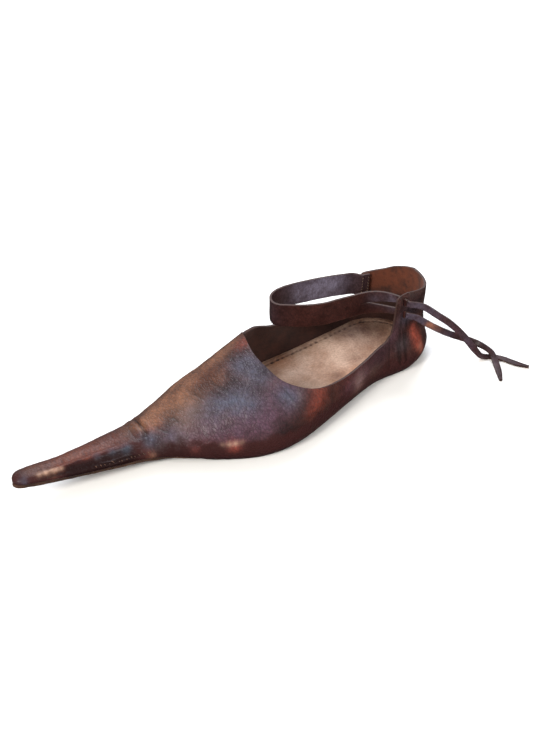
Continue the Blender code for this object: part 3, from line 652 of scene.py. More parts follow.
upper = {
    "noseColumns": 12, "vampColumns": 120, "throatColumns": 10, "throatStart": 0.500, "edgeSteps": 6,
    "tuckRows": 8, "rows": 56,
    # line of the point's shoulder, x and y in mm
    "shoulderX": (200, 216, 224, 237, 248, 259, 275, 292),
    "shoulderY": (8, 3.0, 2.0, 0.4, 0.2, -1.8, -1.2, -3.5),
    "slitX": 4.75, "slitHeights": (64.7, 54.7), "slitSize": (1.7, 3.1),   # mm, half sizes
    "slitsMiddle": (4.75, 59.7), "stillAround": (9, 19),                  # mm
    # length and depth in mm of the hide's swellings, and a seed
    "swells": ((18, 0.5, 1), (7, 0.16, 4)), "heelSwell": 0.45, "ripple": (3.5, 0.16, 9),
    "wander": (6, 1.6, 41),
    # depth and width in mm, then points as x in mm and turn, far side negative
    "creases": (
        (1.5, 1.5, ((202.5, -0.35), (202.2, -0.6), (202.4, -0.85), (203.2, 0.95), (204.5, 0.75),
                    (206.5, 0.55))),
        (-0.8, 2.4, ((207, -0.4), (206.4, -0.7), (206.6, 1.0), (208.5, 0.7))),
        (0.45, 1.3, ((196, 0.9), (194, 0.75), (190, 0.62))),
        (0.35, 1.2, ((186, 0.95), (183, 0.8), (181, 0.66))),
        (0.4, 1.3, ((152, -0.9), (151, 0.95), (148, 0.8), (144, 0.66))),
        (0.35, 1.2, ((143, 0.98), (140, 0.85), (137, 0.72), (135, 0.6))),
        (0.3, 1.1, ((134, -0.95), (133, 0.9), (131, 0.76))),
        (0.35, 1.1, ((165, -0.85), (164, 0.96), (160, 0.78))),
        (0.35, 1.0, ((127, 0.6), (124, 0.5), (121, 0.36))),
        (0.3, 1.0, ((118, 0.55), (115, 0.42), (112, 0.28))),
        (0.4, 1.2, ((12.0, 0.11), (9.0, 0.06), (7.5, 0.0), (8.0, -0.3))),
        (0.45, 1.0, ((6.5, 0.2), (4.0, 0.12), (2.0, 0.05), (1.5, -0.2))),
        (0.3, 1.1, ((22.0, 0.11), (18.0, 0.05), (17.0, -0.1))),
        (0.35, 1.2, ((226, 0.95), (224.5, 0.85))),
        (0.35, 1.3, ((247, 1.0), (245.5, 0.86))),
        (0.3, 1.2, ((262, 1.0), (261, 0.86))),
        (0.5, 0.75, ((243, 0.24), (240, 0.246), (234, 0.208), (224, 0.27), (216, 0.217), (211, 0.24))),
        # shoulder of the point, then the flattened side under it
        (-0.75, 1.5, ((283, 0.5), (276, 0.58), (266, 0.66), (254, 0.72), (240, 0.77), (228, 0.78),
                      (214, 0.76))),
        (0.7, 2.2, ((280, 0.2), (270, 0.3), (255, 0.36), (240, 0.42), (226, 0.44), (214, 0.44))),
    ),
    # soft patches of each paint: x, y, z and radius in mm, then weight
    "patches": {
        # painted highlights on ridges, the point and the quarter
        "paintedHighlight": (
            (171, 8, 32, 12, 0.1), (180, 14, 25, 8, 0.08), (51, 42, 22, 7, 0.14), (-14, 36, 17, 4, 0.16),
            (264.6, 0, 21.3, 1.5, 0.6), (267.5, -0.6, 21.7, 1.6, 0.75), (271, -1.3, 22.1, 1.7, 0.85),
            (275, -1.5, 22.4, 1.8, 0.85), (279, -1.7, 22.7, 1.9, 0.6), (50.7, 42, 16, 7, 0.09),
            (34, 38.5, 18, 6, 0.08), (5.5, 35.5, 29, 5, 0.04), (154, 44, 18.3, 1.8, 0.5),
            (158, 42.8, 18.3, 1.8, 0.7), (162, 41.2, 18, 1.8, 0.6), (166, 39, 17.6, 1.8, 0.35),
            (204, -3, 22.3, 1.8, 0.5), (206, 15.5, 13, 2, 0.12)),
        # painted blue-grey sheen, a reflection of the cool light
        "paintedBlueSheen": (
            (147, 27, 40, 12, 0.82), (129, 10, 51, 10, 0.72), (126, 24, 50, 10, 0.75),
            (160, 20, 33, 10, 0.7), (138, 36, 38, 7, 0.6), (172, 12, 30, 7, 0.5), (188, 14, 21, 9, 0.5),
            (117, 44, 40, 8, 0.9), (204, 8, 20, 6, 1), (221, 6.5, 18.7, 4.5, 1), (230, 3.8, 19.2, 4, 1),
            (240, 2.6, 19.8, 3.5, 0.8), (290, -1, 23, 4, 0.9), (5.5, 35.5, 29, 6, 0.45),
            (4, 36, 50, 6, 0.5), (-2, 30, 56, 8, 0.4)),
        "plumToneAndSheen": (
            # plum tone, with painted sheen on the near quarter
            (136, 44, 32, 14, 1), (116, 42, 42, 13, 1), (152, 38, 29, 12, 0.9), (160, 30, 27, 12, 0.8),
            (176, 24, 22, 11, 0.8), (190, 14, 20, 9, 0.5), (51, 42, 22, 10, 0.9), (64, 44, 20, 8, 0.5),
            (30, 38, 28, 10, 0.4), (18, 34, 40, 10, 0.5), (210, 0, 21, 5, 0.2)),
        "tanWear": (
            (171, -14, 29, 14, 1), (186, -8, 25, 12, 0.9), (150, -18, 38, 14, 1), (124, -22, 47, 12, 0.9),
            (134, -12, 47, 8, 0.7), (196, -4, 23, 9, 0.8), (228, -6, 20, 9, 0.5), (242, -6, 20, 9, 0.45),
            (256, -7, 21, 9, 0.45), (270, -7, 22, 9, 0.6), (210, -8, 21, 8, 0.6), (282, -8, 24, 6, 0.4),
            (272, 0.8, 21, 3, 0.9), (207, 15.7, 12.6, 3, 0.6), (170, 4, 33, 10, 0.45),
            (146, 6, 43, 8, 0.5), (133, 20, 48, 5, 0.35), (156, 32, 33, 5, 0.35), (120, 36, 46, 5, 0.3)),
        # red tone on the point, and painted reflection of warm light at the heel, the throat and the low
        # side
        "redToneAndReflection": (
            (93, 49, 33, 8, 0.6), (101, 52, 26, 7, 0.45), (159, 43, 16.5, 6, 1),
            (-4.5, 33.5, 39.8, 3.5, 1), (-7, 33.6, 34, 4.5, 1), (-10, 34, 28, 5, 1),
            (-12.5, 34.5, 22, 5.5, 1), (-14, 35.5, 16, 5, 1), (197, -2, 23, 6, 0.5), (118, -6, 54, 8, 0.4),
            (208, 15, 13.5, 4, 0.3), (60, 42, 22, 14, 0.3), (228, -4, 20, 9, 0.5), (245, -4, 20, 10, 0.6),
            (262, -5, 21, 10, 0.6), (175, 33, 14, 7, 0.4), (182, 29, 15.5, 5, 0.6)),
    },
    # where the dark underside still catches light
    "glints": (
        (159, 43, 16.5, 6, 0.9), (207, 15.7, 12.6, 3.5, 0.6), (222, 6.5, 18.7, 3.5, 0.75),
        (230, 3.8, 19.2, 3, 0.75), (-6, 33, 34, 6, 1), (-11, 34, 25, 6.5, 1), (-14, 35, 16, 5.5, 1),
        (18, 34, 40, 12, 0.7), (218, 5, 19, 3, 0.7), (203, 14, 18, 6, 0.8), (93, 49, 33, 9, 0.7),
        (264.6, 0, 21.3, 2.2, 0.9), (269, -0.8, 21.8, 2.2, 0.9), (275, -1.5, 22.4, 2.4, 0.9),
        (280, -1.6, 22.8, 2.2, 0.7), (271, 2.2, 20.6, 3, 0.45), (290, -2, 23, 3, 0.6),
        (240, 2.6, 19.8, 2.6, 0.5), (182, 29, 15.5, 3.5, 0.6), (50.7, 42, 16, 9, 0.85),
        (34, 38.5, 18, 8, 0.5), (5.5, 35.5, 28, 6, 0.4)),
    # painted shade at the tip and on the vamp's crest
    "shadePatches": ((293, -7, 24, 5.5, 0.9), (150, -6, 43, 13, 0.28)),
}


def upperColumns(rows, s):
    # foot, edge and turn of every column from the point to the heel
    nose = noseStart + np.sin(np.linspace(1, 0, s["noseColumns"]) * math.pi / 2) * last["noseLength"]
    vamp = np.linspace(noseStart, s["throatStart"] * last["length"], s["vampColumns"] + 1)[1:]
    front = np.concatenate([nose, vamp]) / last["length"]
    front = np.stack([front, front, np.ones_like(front)], -1)
    share = np.linspace(0, 1, s["throatColumns"] + 1)[1:-1, None]
    throat = front[-1] + (np.array(rows[0]) - front[-1]) * share
    return np.concatenate([front, throat, smoothRows(rows, s["edgeSteps"])])


def upperHalf(side, rows, s):
    low = np.linspace(-1, 0, s["tuckRows"] + 1)[:-1]
    share = np.linspace(0, 1, s["rows"] - s["tuckRows"])
    lean = np.concatenate([np.zeros(len(low)), share])
    table = upperColumns(rows, s)
    foot, edge, turn = (table[:, k:k + 1] for k in range(3))
    tucked = np.repeat(low[None, :], len(table), 0)
    turns = np.concatenate([tucked, share[None, :] * np.clip(turn, 0, 1)], 1)
    along = (foot + (edge - foot) * lean[None, :]) * last["length"]
    return lastPoint(along, side, turns)


def creaseLine(points):
    # far turns are mirrored past the ridge, so that a line can cross it: 1 is the ridge, 2 the far bulge
    rows = [(x, turn if turn >= 0 else 2 + turn) for x, turn in points]
    return np.array([lastPoint(x * mm, 1, turn) if turn <= 1 else lastPoint(x * mm, -1, 2 - turn)
                     for x, turn in smoothRows(rows, 8)])


def distanceToLine(points, line):
    best = np.full(len(points), 1e9)
    place = np.zeros(len(points))
    for i in range(len(line) - 1):
        a, b = line[i], line[i + 1]
        d = b - a
        t = np.clip(((points - a) @ d) / max(d @ d, 1e-12), 0, 1)
        away = np.linalg.norm(points - a - t[:, None] * d, axis=1)
        closer = away < best
        best[closer] = away[closer]
        place[closer] = (i + t[closer]) / (len(line) - 1)
    return best, place


def creaseHeights(points, creases):
    # soft troughs with a low ridge on both sides, fading at their ends; a negative depth is a ridge
    height = np.zeros(len(points))
    shade = np.zeros(len(points))
    for depth, width, rows in creases:
        away, place = distanceToLine(points, creaseLine(rows))
        away = away / (width * mm)
        fade = np.sin(np.clip(place, 0.02, 0.98) * math.pi) ** 0.5
        trough = np.exp(-away ** 2)
        height += fade * (-depth * trough + 0.35 * depth * np.exp(-(away - 1.9) ** 2 * 1.5)) * mm
        if depth > 0:
            shade = np.maximum(shade, fade * np.exp(-(away * 1.6) ** 2) * min(1, depth / 0.6))
    return height, shade


def slitReach(point, centre, size):
    # 1 on the slit's outline, a long box with rounded corners
    return (np.abs((np.array((point.x, point.z)) - centre) / size) ** 4).sum() ** 0.25


def openSlits(piece, s):
    # two upright slits through the near flap
    mesh = piece.data
    work = bmesh.new()
    work.from_mesh(mesh)
    size = np.array(s["slitSize"]) * mm
    for z in s["slitHeights"]:
        centre = np.array((s["slitX"], z)) * mm
        middles = {face: face.calc_center_median() for face in work.faces}
        gone = [face for face, at in middles.items() if at.y > 0.02 and slitReach(at, centre, size) < 1]
        bmesh.ops.delete(work, geom=gone, context="FACES")
        middles = {edge: (edge.verts[0].co + edge.verts[1].co) / 2
                   for edge in work.edges if edge.is_boundary}
        rim = [edge for edge, at in middles.items() if at.y > 0.02 and slitReach(at, centre, size) < 1.6]
        for vert in {v for edge in rim for v in edge.verts}:
            here = np.array((vert.co.x, vert.co.z))
            vert.co.x, vert.co.z = centre + (here - centre) / slitReach(vert.co, centre, size)
    work.to_mesh(mesh)
    work.free()


def shapeUpper(piece, s):
    # creases, swells and fine ripples of the soft leather, as one push along the normals
    points, normals = readPoints(piece), readNormals(piece)
    height, shade = creaseHeights(points, s["creases"])
    x, y, z = points.T
    middleX, middleZ = s["slitsMiddle"]
    calm = np.where(y > 0.02, ramp(np.hypot(x - middleX * mm, z - middleZ * mm), *s["stillAround"]), 1)
    vamp = ramp(x, 50, 110)
    swell = sum(roughen(points, size * mm, depth * mm, seed) for size, depth, seed in s["swells"])
    size, depth, seed = s["ripple"]
    ripples = roughen(points * (1, 0.35, 0.5), size * mm, depth * mm, seed) * vamp
    height = (height + swell * (s["heelSwell"] + (1 - s["heelSwell"]) * vamp) + ripples) * calm
    writePoints(piece, points + normals * height[:, None])
    return x, y, z, shade


def paintUpper(piece, s, x, y, z, shade):
    points = readPoints(piece)
    shoulder = np.interp(x, np.array(s["shoulderX"]) * mm, np.array(s["shoulderY"]) * mm)
    size, depth, seed = s["wander"]
    wander = roughen(points, size * mm, depth * mm, seed)
    # painted shade on sides that turn away from the light, darker and without the painted sheen
    pointSide = ramp(y - shoulder + wander, -0.9, 0.9) * ramp(x, 200, 216)
    pointTop = 0.5 * ramp(x, 206, 220)
    low = ramp(z - 3 * wander, 22.2, 16.2) * ramp(y, 4, 12) * ramp(x, 212, 200)
    back = 0.18 * ramp(x, 85, 55) * ramp(y, 10, 20)
    dark = np.maximum.reduce([pointSide, low, back, spots(points, s["shadePatches"]), pointTop])
    paint(piece, "shadowSide", np.clip(dark * (1 - spots(points, s["glints"])), 0, 1))
    # painted shade in the creases, under the point's shoulder and along the low band
    under = 0.9 * ramp(y - shoulder, 0, 3.5) * ramp(x, 210, 222) * ramp(x, 272, 260)
    lowDark = low * (0.2 * ramp(x, 140, 170) + 0.25 * ramp(x, 175, 195))
    paint(piece, "paintedShade", np.maximum.reduce([shade, under, lowDark]))
    for layer, rows in s["patches"].items():
        paint(piece, layer, spots(points, rows))
    # painted light on the inside of the high heel back
    paint(piece, "fleshToneAndLight", ramp(z, 26, 40) * ramp(x, 12, -8))    # inside the high heel back


def makeUpper(s):
    near, far = upperHalf(1, nearEdge, s), upperHalf(-1, farEdge, s)
    vertices = np.concatenate([near.reshape(-1, 3), far.reshape(-1, 3)])
    turned = gridFaces(len(far), s["rows"], near.shape[0] * s["rows"])[:, ::-1]
    piece = makePiece("upper_leather", vertices, np.concatenate([gridFaces(len(near), s["rows"]), turned]))
    openSlits(piece, s)
    paintUpper(piece, s, *shapeUpper(piece, s))
    addMaterials(piece, calfGrain, calfFlesh, cutEdge)
    thicken(piece, last["wall"], -1, 1, 2)
    softenEdge(piece, 0.35 * mm)
    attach(piece, "root")
    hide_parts("upper")


makeUpper(upper)
print("upper ready")


# Sole and insole: flat plates between the two lower edge lines
def columnPlaces(front, roundLength, s):
    # places along the foot, from a rounded front end back to the middle of the heel
    nose = front + roundLength * np.sin(np.linspace(1, 0, s["noseColumns"]) * math.pi / 2)
    body = np.linspace(front, 0, s["bodyColumns"])[1:]
    heel = np.linspace(0, -last["heelRadius"] * math.pi / 2, s["heelColumns"])[1:]
    return np.concatenate([nose, body, heel])


def lowerEdge(along, side):
    return lastPoint(along, side, -np.ones_like(along))[:, :2]


def insetLines(near, far, distance):
    # both lines moved inward, as one closed loop
    loop = np.concatenate([near, far[-2:0:-1]])
    ahead = np.roll(loop, -1, axis=0) - np.roll(loop, 1, axis=0)
    inward = np.stack([-ahead[:, 1], ahead[:, 0]], -1)
    inward = inward / np.linalg.norm(inward, axis=1)[:, None]
    facing = np.sign(np.sum(inward * (loop.mean(axis=0) - loop)))
    distances = np.concatenate([distance, distance[-2:0:-1]])
    moved = loop + inward * facing * distances[:, None]
    count = len(near)
    return moved[:count], np.concatenate([moved[:1], moved[count:][::-1], moved[count - 1:count]])


def makePlate(name, near, far, low, thickness, across):
    share = np.linspace(0, 1, across)[None, :, None]
    rows = near[:, None, :] * (1 - share) + far[:, None, :] * share
    top = np.broadcast_to((low + thickness)[:, None, None], (len(near), across, 1))
    piece = makePiece(name, np.concatenate([rows, top], -1).reshape(-1, 3), gridFaces(len(near), across))
    if readNormals(piece)[:, 2].mean() < 0:
        piece.data.flip_normals()
    return piece


sole = {
    "noseColumns": 14, "bodyColumns": 190, "heelColumns": 50, "across": 36,
    "ragged": 0.35, "raggedPerMetre": 260,    # mm, the trimmed edge under the point
    "tipWrap": 0.6,                           # mm, the upper wraps the very tip
    "trodden": ((0, 0, 0, 34, 1), (130, 10, 0, 48, 1), (60, 0, 0, 40, 0.5), (230, 0, 8, 30, 0.4)),
}


def makeSole(s):
    along = columnPlaces(noseStart, last["noseLength"], s)
    proud = last["wall"] + last["gap"] + last["proud"]
    out = ease((along - last["proudStart"]) / last["proudLength"])
    ragged = np.array([noise.noise(Vector((x * s["raggedPerMetre"], 3, 0))) for x in along]) * out
    distance = last["wall"] + last["gap"] - proud * out + ragged * s["ragged"] * mm
    distance = distance + s["tipWrap"] * mm * ramp(along, 283, 289)
    near, far = insetLines(lowerEdge(along, 1), lowerEdge(along, -1), distance)
    piece = makePlate("sole_leather", near, far, spring(near[:, 0]), last["sole"], s["across"])
    paint(piece, "trodden", spots(readPoints(piece), s["trodden"]))
    addMaterials(piece, soleLeather, cutEdge)
    thicken(piece, last["sole"], -1, 0, 0)
    softenEdge(piece, 0.4 * mm, 3)
    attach(piece, "root")
    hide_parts("sole")


insole = {
    "noseColumns": 12, "bodyColumns": 240, "heelColumns": 56, "across": 108,
    "margin": 4.4,       # mm from the far edge to the row of stitch holes
    "groove": (0.35, 0.8), "lip": (0.25, 1.6), "lipInset": 2.4,     # mm, depth or height and width
    "swells": ((20, 0.35, 17), (4, 0.12, 19)),                      # mm, length and depth, and a seed
    "firstHole": 4, "holePitch": 4.9, "pitchWander": 3.5, "rowWander": 1.1,
    "holeDepth": 1.0, "holeSize": 0.95, "holeStretch": 1.7,
    # soft patches: x, y, z and radius in mm, then weight
    "stains": ((48, 14, 4, 6, 0.5), (24, 6, 4, 8, 0.4), (8, -22, 4, 16, 0.7), (-10, -10, 4, 18, 0.6),
               (88, -16, 4, 8, 0.4)),
    "warm": ((100, 34, 4, 18, 0.8), (30, 26, 4, 14, 0.6), (60, 36, 4, 12, 0.6), (70, -24, 4, 12, 0.5),
             (130, 26, 4, 24, 0.2)),
}


def stitchHoles(flat, line, s):
    # a weight for each point, 1 in the middle of a slanting hole in the row beside the line
    run = np.concatenate([[0], np.cumsum(np.linalg.norm(np.diff(line, axis=0), axis=1))])
    holes = np.zeros(len(flat))
    at = s["firstHole"] * mm
    number = 0
    while at < run[-1]:
        here, ahead = (np.array([np.interp(place, run, line[:, k]) for k in range(2)])
                       for place in (at, at + mm))
        ahead = (ahead - here) / max(np.linalg.norm(ahead - here), 1e-9)
        side = np.array((-ahead[1], ahead[0]))
        if (flat.mean(axis=0) - here) @ side < 0:
            side = -side
        wander = noise.noise(Vector((number * 1.7, 8, 0)))
        worn = 0.75 + 0.9 * noise.noise(Vector((number * 0.9, 3, 5)))
        away = flat - here - side * (s["margin"] + s["rowWander"] * wander) * mm
        long = (away @ ahead) / (s["holeSize"] * s["holeStretch"] * mm)
        short = (away @ side) / (s["holeSize"] * mm)
        holes = np.maximum(holes, worn * np.exp(-(long ** 2 + short ** 2) * 1.2))
        at += (s["holePitch"] + wander * s["pitchWander"]) * mm
        number += 1
    return holes


def makeInsole(s):
    front = last["insoleEnd"] - last["insoleRound"]
    along = columnPlaces(front, last["insoleRound"], s)
    near, far = lowerEdge(along, 1), lowerEdge(along, -1)
    narrow = np.sqrt(1 - np.clip((along - front) / last["insoleRound"], 0, 1) ** 2)[:, None]
    middle = (near + far) / 2
    near, far = insetLines(middle + (near - middle) * narrow, middle + (far - middle) * narrow,
                           np.full(len(along), last["wall"]))
    low = spring(near[:, 0]) + last["sole"] + last["gap"]
    piece = makePlate("insole_leather", near, far, low, last["insole"], s["across"])
    points = readPoints(piece)
    edgeLine = np.concatenate([far[1:-1], near[-1:1:-1]])
    away = distanceToLine(points[:, :2], edgeLine)[0] / mm
    grooveDepth, grooveWidth = s["groove"]
    lipHeight, lipWidth = s["lip"]
    groove = np.exp(-((away - s["margin"]) / grooveWidth) ** 2)
    lip = np.exp(-((away - s["margin"] + s["lipInset"]) / lipWidth) ** 2)
    holes = stitchHoles(points[:, :2], edgeLine, s)
    height = (lipHeight * lip - grooveDepth * groove - s["holeDepth"] * holes) * mm
    height += sum(roughen(points, size * mm, depth * mm, seed) for size, depth, seed in s["swells"])
    points[:, 2] += height * np.clip(away / 1.2, 0, 1)
    writePoints(piece, points)
    # stains, darker along the groove, and painted shade in the stitch holes and on the margin by the wall
    stainsAndShade = np.maximum(0.6 * holes, 0.5 * groove + 0.55 * ease((s["margin"] - away) / 2))
    paint(piece, "stainsAndShade", np.clip(np.maximum(stainsAndShade, spots(points, s["stains"])), 0, 1))
    # painted shade inside the stitch holes
    paint(piece, "holeShade", np.clip(holes * 1.4, 0, 1))
    paint(piece, "warm", spots(points, s["warm"]))
    addMaterials(piece, insoleLeather, cutEdge)
    thicken(piece, last["insole"], -1, 0, 1)
    softenEdge(piece, 0.3 * mm)
    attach(piece, "root")
    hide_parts("insole")


makeSole(sole)
makeInsole(insole)
print("sole and insole ready")


# Ankle strap, on edge from inside the far flap round to the near flap's slits
strap = {
    "width": 0.019, "thickness": 0.0016, "tongue": 0.0054,
    "sewnStations": (-0.062, -0.053, -0.044, -0.035), "sewnHeight": 0.602,
    "steps": 10,
    "columns": (7, 9, 7),    # across the upper tongue, the cut and the lower tongue
    # middle of the band: x, y, z in mm
    "path": ((-2.36, -33.89, 40.43), (5.02, -35.22, 41.73), (17.14, -36.82, 43.88), (39.01, -37.99, 47.78),
             (54.96, -38.3, 50.18), (67.08, -36.82, 51.87), (75.94, -32.21, 52.78), (79.49, -25.51, 52.98),
             (78.01, -19.81, 52.98), (72.69, -15.02, 52.98), (62.65, -7.8, 52.98), (50.53, -2.18, 52.98),
             (41.07, -0.31, 52.98), (31.91, 1.6, 52.98), (26.6, 2.61, 52.9), (20.98, 4.21, 53.3)),
    # share of the half width at which the cut runs, at the last rows before it opens
    "cutShares": (0.432, 0.25, 0.03),
    # the tongues past the split: x, y, then the four edges' heights from the top down
    "tongues": ((15.96, 6.79, 63.5, 54.6, 53.6, 44.5), (10.93, 12.99, 65.2, 56.6, 53.6, 46.6),
                (7.39, 20.98, 66.5, 59.6, 55.0, 49.3), (5.32, 28.0, 67.1, 61.8, 56.6, 51.4),
                (4.73, 31.59, 67.3, 61.98, 57.3, 51.98), (4.6, 34.7, 67.39, 61.99, 57.43, 52.03)),
    "swells": ((12, 0.35, 31), (4, 0.1, 33)),    # mm, length and depth, and a seed
    # soft patches: x, y, z and radius in mm, then weight
    # painted blue sheen and highlight on the far run, painted shade on the near tongues
    "farSheen": ((22, -37, 45, 18, 1.0), (46, -38, 50, 14, 0.5)),
    "nearSheen": ((8, 22, 60, 7, 0.5), (14, 10, 58, 5, 0.3)),
    "farHighlight": ((20, -36, 45, 13, 0.14), (38, -37, 48, 10, 0.06)),
    "nearShade": ((16, 8, 54, 9, 0.6), (8, 18, 56, 8, 0.5), (6, 26, 58, 6, 0.3)),
}


def turnAt(along, side, height):
    # the last's turn at a height
    turns = np.linspace(0, 1, 400)
    heights = lastPoint(np.full_like(turns, along), side, turns)[:, 2]
    return float(np.interp(height, heights, turns))


def sewnPoint(station, height, depth):
    # a point depth inside the far flap's outer face, and the way in
    along = station * last["length"]
    point = lastPoint(along, -1, turnAt(along, -1, height))
    inward = -np.array((*point[:2], 0)) / np.linalg.norm(point[:2])
    return point + inward * depth, inward


def strapRows(s):
    # four edge lines along the strap: both outer edges and both sides of the cut
    inner = 0.5 - s["tongue"] / s["width"]
    clear = last["wall"] + last["gap"] * 2 + s["thickness"] / 2
    sewn = s["sewnHeight"] * last["collar"]
    rows = [[(*sewnPoint(station, sewn + side * s["width"], clear)[0][:2], sewn + side * s["width"])
             for side in (0.5, inner, -inner, -0.5)] for station in s["sewnStations"]]
    cuts = [inner] * (len(s["path"]) - len(s["cutShares"])) + [share / 2 for share in s["cutShares"]]
    for point, cut in zip(s["path"], cuts):
        rows.append([np.array(point) * mm + (0, 0, side * s["width"]) for side in (0.5, cut, -cut, -0.5)])
    split = (len(rows) - 1) * s["steps"]
    for x, y, *heights in s["tongues"]:
        rows.append([np.array((x, y, height)) * mm for height in heights])
    return smoothRows(np.array(rows), s["steps"]), split


def makeStrap(s):
    rows, split = strapRows(s)
    parts = []
    for k, count in enumerate(s["columns"]):
        share = np.linspace(0, 1, count)[None, :, None]
        part = rows[:, k:k + 1] * (1 - share) + rows[:, k + 1:k + 2] * share
        parts.append(part if k == 0 else part[:, 1:])
    grid = np.concatenate(parts, 1)
    wide = grid.shape[1]
    first = s["columns"][0] - 1
    end = first + s["columns"][1] - 1
    faces = [f for f in gridFaces(len(grid), wide)
             if not (first <= f[0] % wide < end and f[0] // wide >= split)]
    piece = makePiece("ankle_strap_band", grid.reshape(-1, 3), faces)
    points, normals = readPoints(piece), readNormals(piece)
    x, y = points[:, 0], points[:, 1]
    free = ramp(np.abs(y + 4 * mm), 0, 1) * ramp(x, 4, 16)    # held still where it is sewn
    height = sum(roughen(points, size * mm, depth * mm, seed) for size, depth, seed in s["swells"]) * free
    writePoints(piece, points + normals * height[:, None])
    outer = ramp(y, -28, -8)    # the run nearer the camera
    # painted blue sheen and highlight, painted shade on the tongues; the plum and red are the runs' tone
    blueSheen = (1 - outer) * spots(points, s["farSheen"]) + spots(points, s["nearSheen"])
    paint(piece, "paintedBlueSheen", np.clip(blueSheen, 0, 1))
    paint(piece, "paintedHighlight", (1 - outer) * spots(points, s["farHighlight"]))
    paint(piece, "shadowSide", outer * spots(points, s["nearShade"]))
    paint(piece, "plumToneAndSheen", (1 - outer) * 0.35)
    paint(piece, "redToneAndReflection", outer * 0.35)
    addMaterials(piece, strapGrain, strapGrain, cutEdge)
    thicken(piece, s["thickness"], 0, 1, 2)
    softenEdge(piece, 0.35 * mm)
    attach(piece, "root")
    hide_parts("ankle_strap")


def makeStitches(name, s, places, material):
    # short bowed threads, each given by its middle, its run and the way out of the leather
    vertices, faces = [], []
    for centre, run, out in places:
        side = np.cross(run, out)
        side /= np.linalg.norm(side)
        faces += tubeFaces(s["rings"], s["around"], len(vertices))
        for place in np.linspace(-1, 1, s["rings"]):
            bow = (0.8 - 1.3 * place ** 2) * s["radius"] * mm
            wide = s["radius"] * mm * (1 - 0.6 * place ** 4)
            for angle in np.linspace(0, 2 * math.pi, s["around"], endpoint=False):
                vertices.append(centre + run * place * s["length"] / 2 * mm
                                + out * (bow + wide * math.cos(angle)) + side * wide * math.sin(angle))
    piece = makePiece(name, np.array(vertices), faces)
    addMaterials(piece, material)
    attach(piece, "root")


# Stitches, length and radius in mm: two rows hold the strap's end inside the far flap
strapSeam = {"rows": (-0.0585, -0.0375), "count": 6, "length": 1.7, "radius": 0.26, "lean": 0.5,
             "reach": 0.84, "rings": 7, "around": 8}
# and a whipped seam runs low on the near side of the point
pointSeam = {"from": 244, "to": 209, "count": 13, "turn": 0.235, "length": 1.7, "radius": 0.3, "slip": 2.2,
             "rings": 7, "around": 8}


def strapSeamPlaces(s):
    places = []
    depth = last["wall"] + last["gap"] * 2 + strap["thickness"]
    middle = strap["sewnHeight"] * last["collar"]
    for number, station in enumerate(s["rows"]):
        for k in range(s["count"]):
            share = s["reach"] * (0.5 - (k + 0.5) / s["count"])
            centre, inward = sewnPoint(station, middle + share * strap["width"], depth)
            tilt = s["lean"] * (1 if number else -1) + 0.3 * noise.noise(Vector((k * 1.3, number * 5, 2)))
            run = np.array((-inward[1] * math.sin(tilt), inward[0] * math.sin(tilt), math.cos(tilt)))
            places.append((centre, run, inward))
    return places


def pointSeamPlaces(s):
    places = []
    for k, x in enumerate(np.linspace(s["from"], s["to"], s["count"])):
        wander = noise.noise(Vector((k * 2.1, 7, 1)))
        slip = noise.noise(Vector((k * 1.3, 2, 9)))
        x, turn = (x + s["slip"] * slip) * mm, s["turn"] + 0.06 * wander
        centre = lastPoint(x, 1, turn)
        up = lastPoint(x, 1, turn + 0.05) - centre
        ahead = lastPoint(x + mm, 1, turn) - centre
        out = np.cross(up, ahead)
        out *= (1 if out[1] > 0 else -1) / np.linalg.norm(out)
        run = up / np.linalg.norm(up) + (0.5 + 1.6 * slip) * ahead / np.linalg.norm(ahead)
        run *= (0.85 + 0.9 * wander) / np.linalg.norm(run)    # the stitches are of uneven length
        places.append((centre + out * 0.05 * mm, run, out))
    return places


makeStitches("strap_seam_thread", strapSeam, strapSeamPlaces(strapSeam), linenThread)
makeStitches("point_seam_thread", pointSeam, pointSeamPlaces(pointSeam), tarredThread)
makeStrap(strap)
print("strap ready")


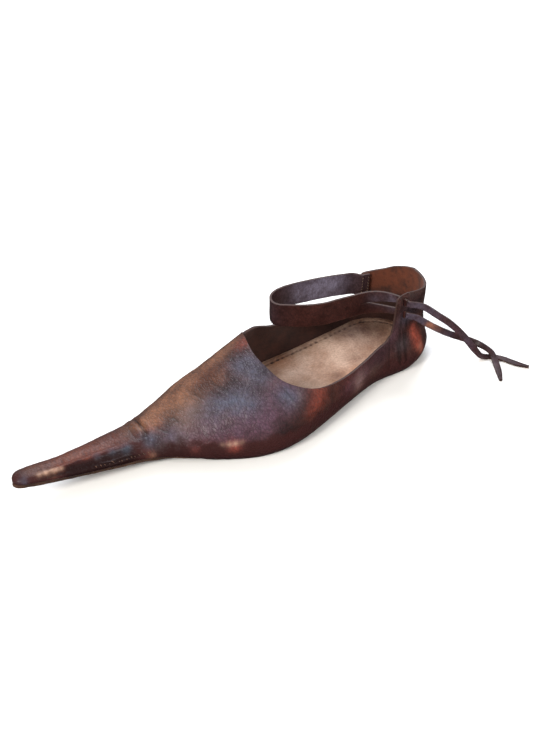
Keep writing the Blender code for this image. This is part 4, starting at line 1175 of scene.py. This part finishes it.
# Studio, a matt paper sweep in a pale room
studio = {
    "floor": "f4f4f2", "floorSize": 6.0, "floorCells": 24, "world": "f7f8fa", "worldStrength": 0.62,
    # shiny leather mirrors a dim room under the horizon, not the white floor, so its sides stay dark
    "ground": 0.06, "groundEnd": -0.3, "skyStart": 0.02,
    # place, what it looks at, size, watts, colour
    "skyPanel": ((-0.35, -0.65, 1.0), (0.12, 0, 0), 0.9, 17, "f3f6ff"),
    "keyPanel": ((1.0, 0.25, 0.75), (0.12, 0, 0.02), 0.35, 12, "fffaf3"),
    "heelPanel": ((-0.5, 0.75, 0.45), (0, 0.02, 0.03), 0.3, 4, "fff8f0"),
}


def makeFloor(s):
    count = s["floorCells"]
    line = np.linspace(-s["floorSize"], s["floorSize"], count)
    grid = np.stack(np.meshgrid(line, line, indexing="ij") + [np.zeros((count, count))], -1)
    floor = makePiece("studio_floor", grid.reshape(-1, 3), gridFaces(count, count))
    material, tree, shader, where = newMaterial("paperSweepMatt")
    tooth = addNode(tree, "TexNoise", {"Vector": where, "Scale": 60.0, "Detail": 2.0})
    colour = shadeBy(tree, linearColour(s["floor"]), tooth, 0.0, 1.0, 0.98, 1.0)
    setInputs(tree, shader, {"Base Color": colour, "Roughness": 0.9, "Specular IOR Level": 0.2})
    addMaterials(floor, material)
    floor.visible_glossy = False


def makeRoom(s):
    world = bpy.data.worlds.new("studioWorld")
    world.use_nodes = True
    tree = world.node_tree
    facing = addNode(tree, "TexCoord").outputs["Generated"]
    upward = addNode(tree, "SeparateXYZ", {0: facing}).outputs[2]
    strength = addNode(tree, "MapRange", span(upward, s["groundEnd"], s["skyStart"],
                                              s["ground"], s["worldStrength"]))
    setInputs(tree, tree.nodes["Background"], {"Color": linearColour(s["world"]), "Strength": strength})
    bpy.context.scene.world = world


def makePanel(name, place, aim, wide, watts, tint):
    data = bpy.data.lights.new(name, "AREA")
    data.shape = "DISK"
    data.size = wide
    data.energy = watts
    data.color = linearColour(tint)[:3]
    light = bpy.data.objects.new(name, data)
    light.location = place
    light.rotation_euler = (Vector(aim) - Vector(place)).to_track_quat("-Z", "Y").to_euler()
    bpy.context.scene.collection.objects.link(light)


makeFloor(studio)
makeRoom(studio)
for name in ("skyPanel", "keyPanel", "heelPanel"):
    makePanel(name, *studio[name])
bpy.context.scene.view_settings.view_transform = "Standard"
print("studio ready")
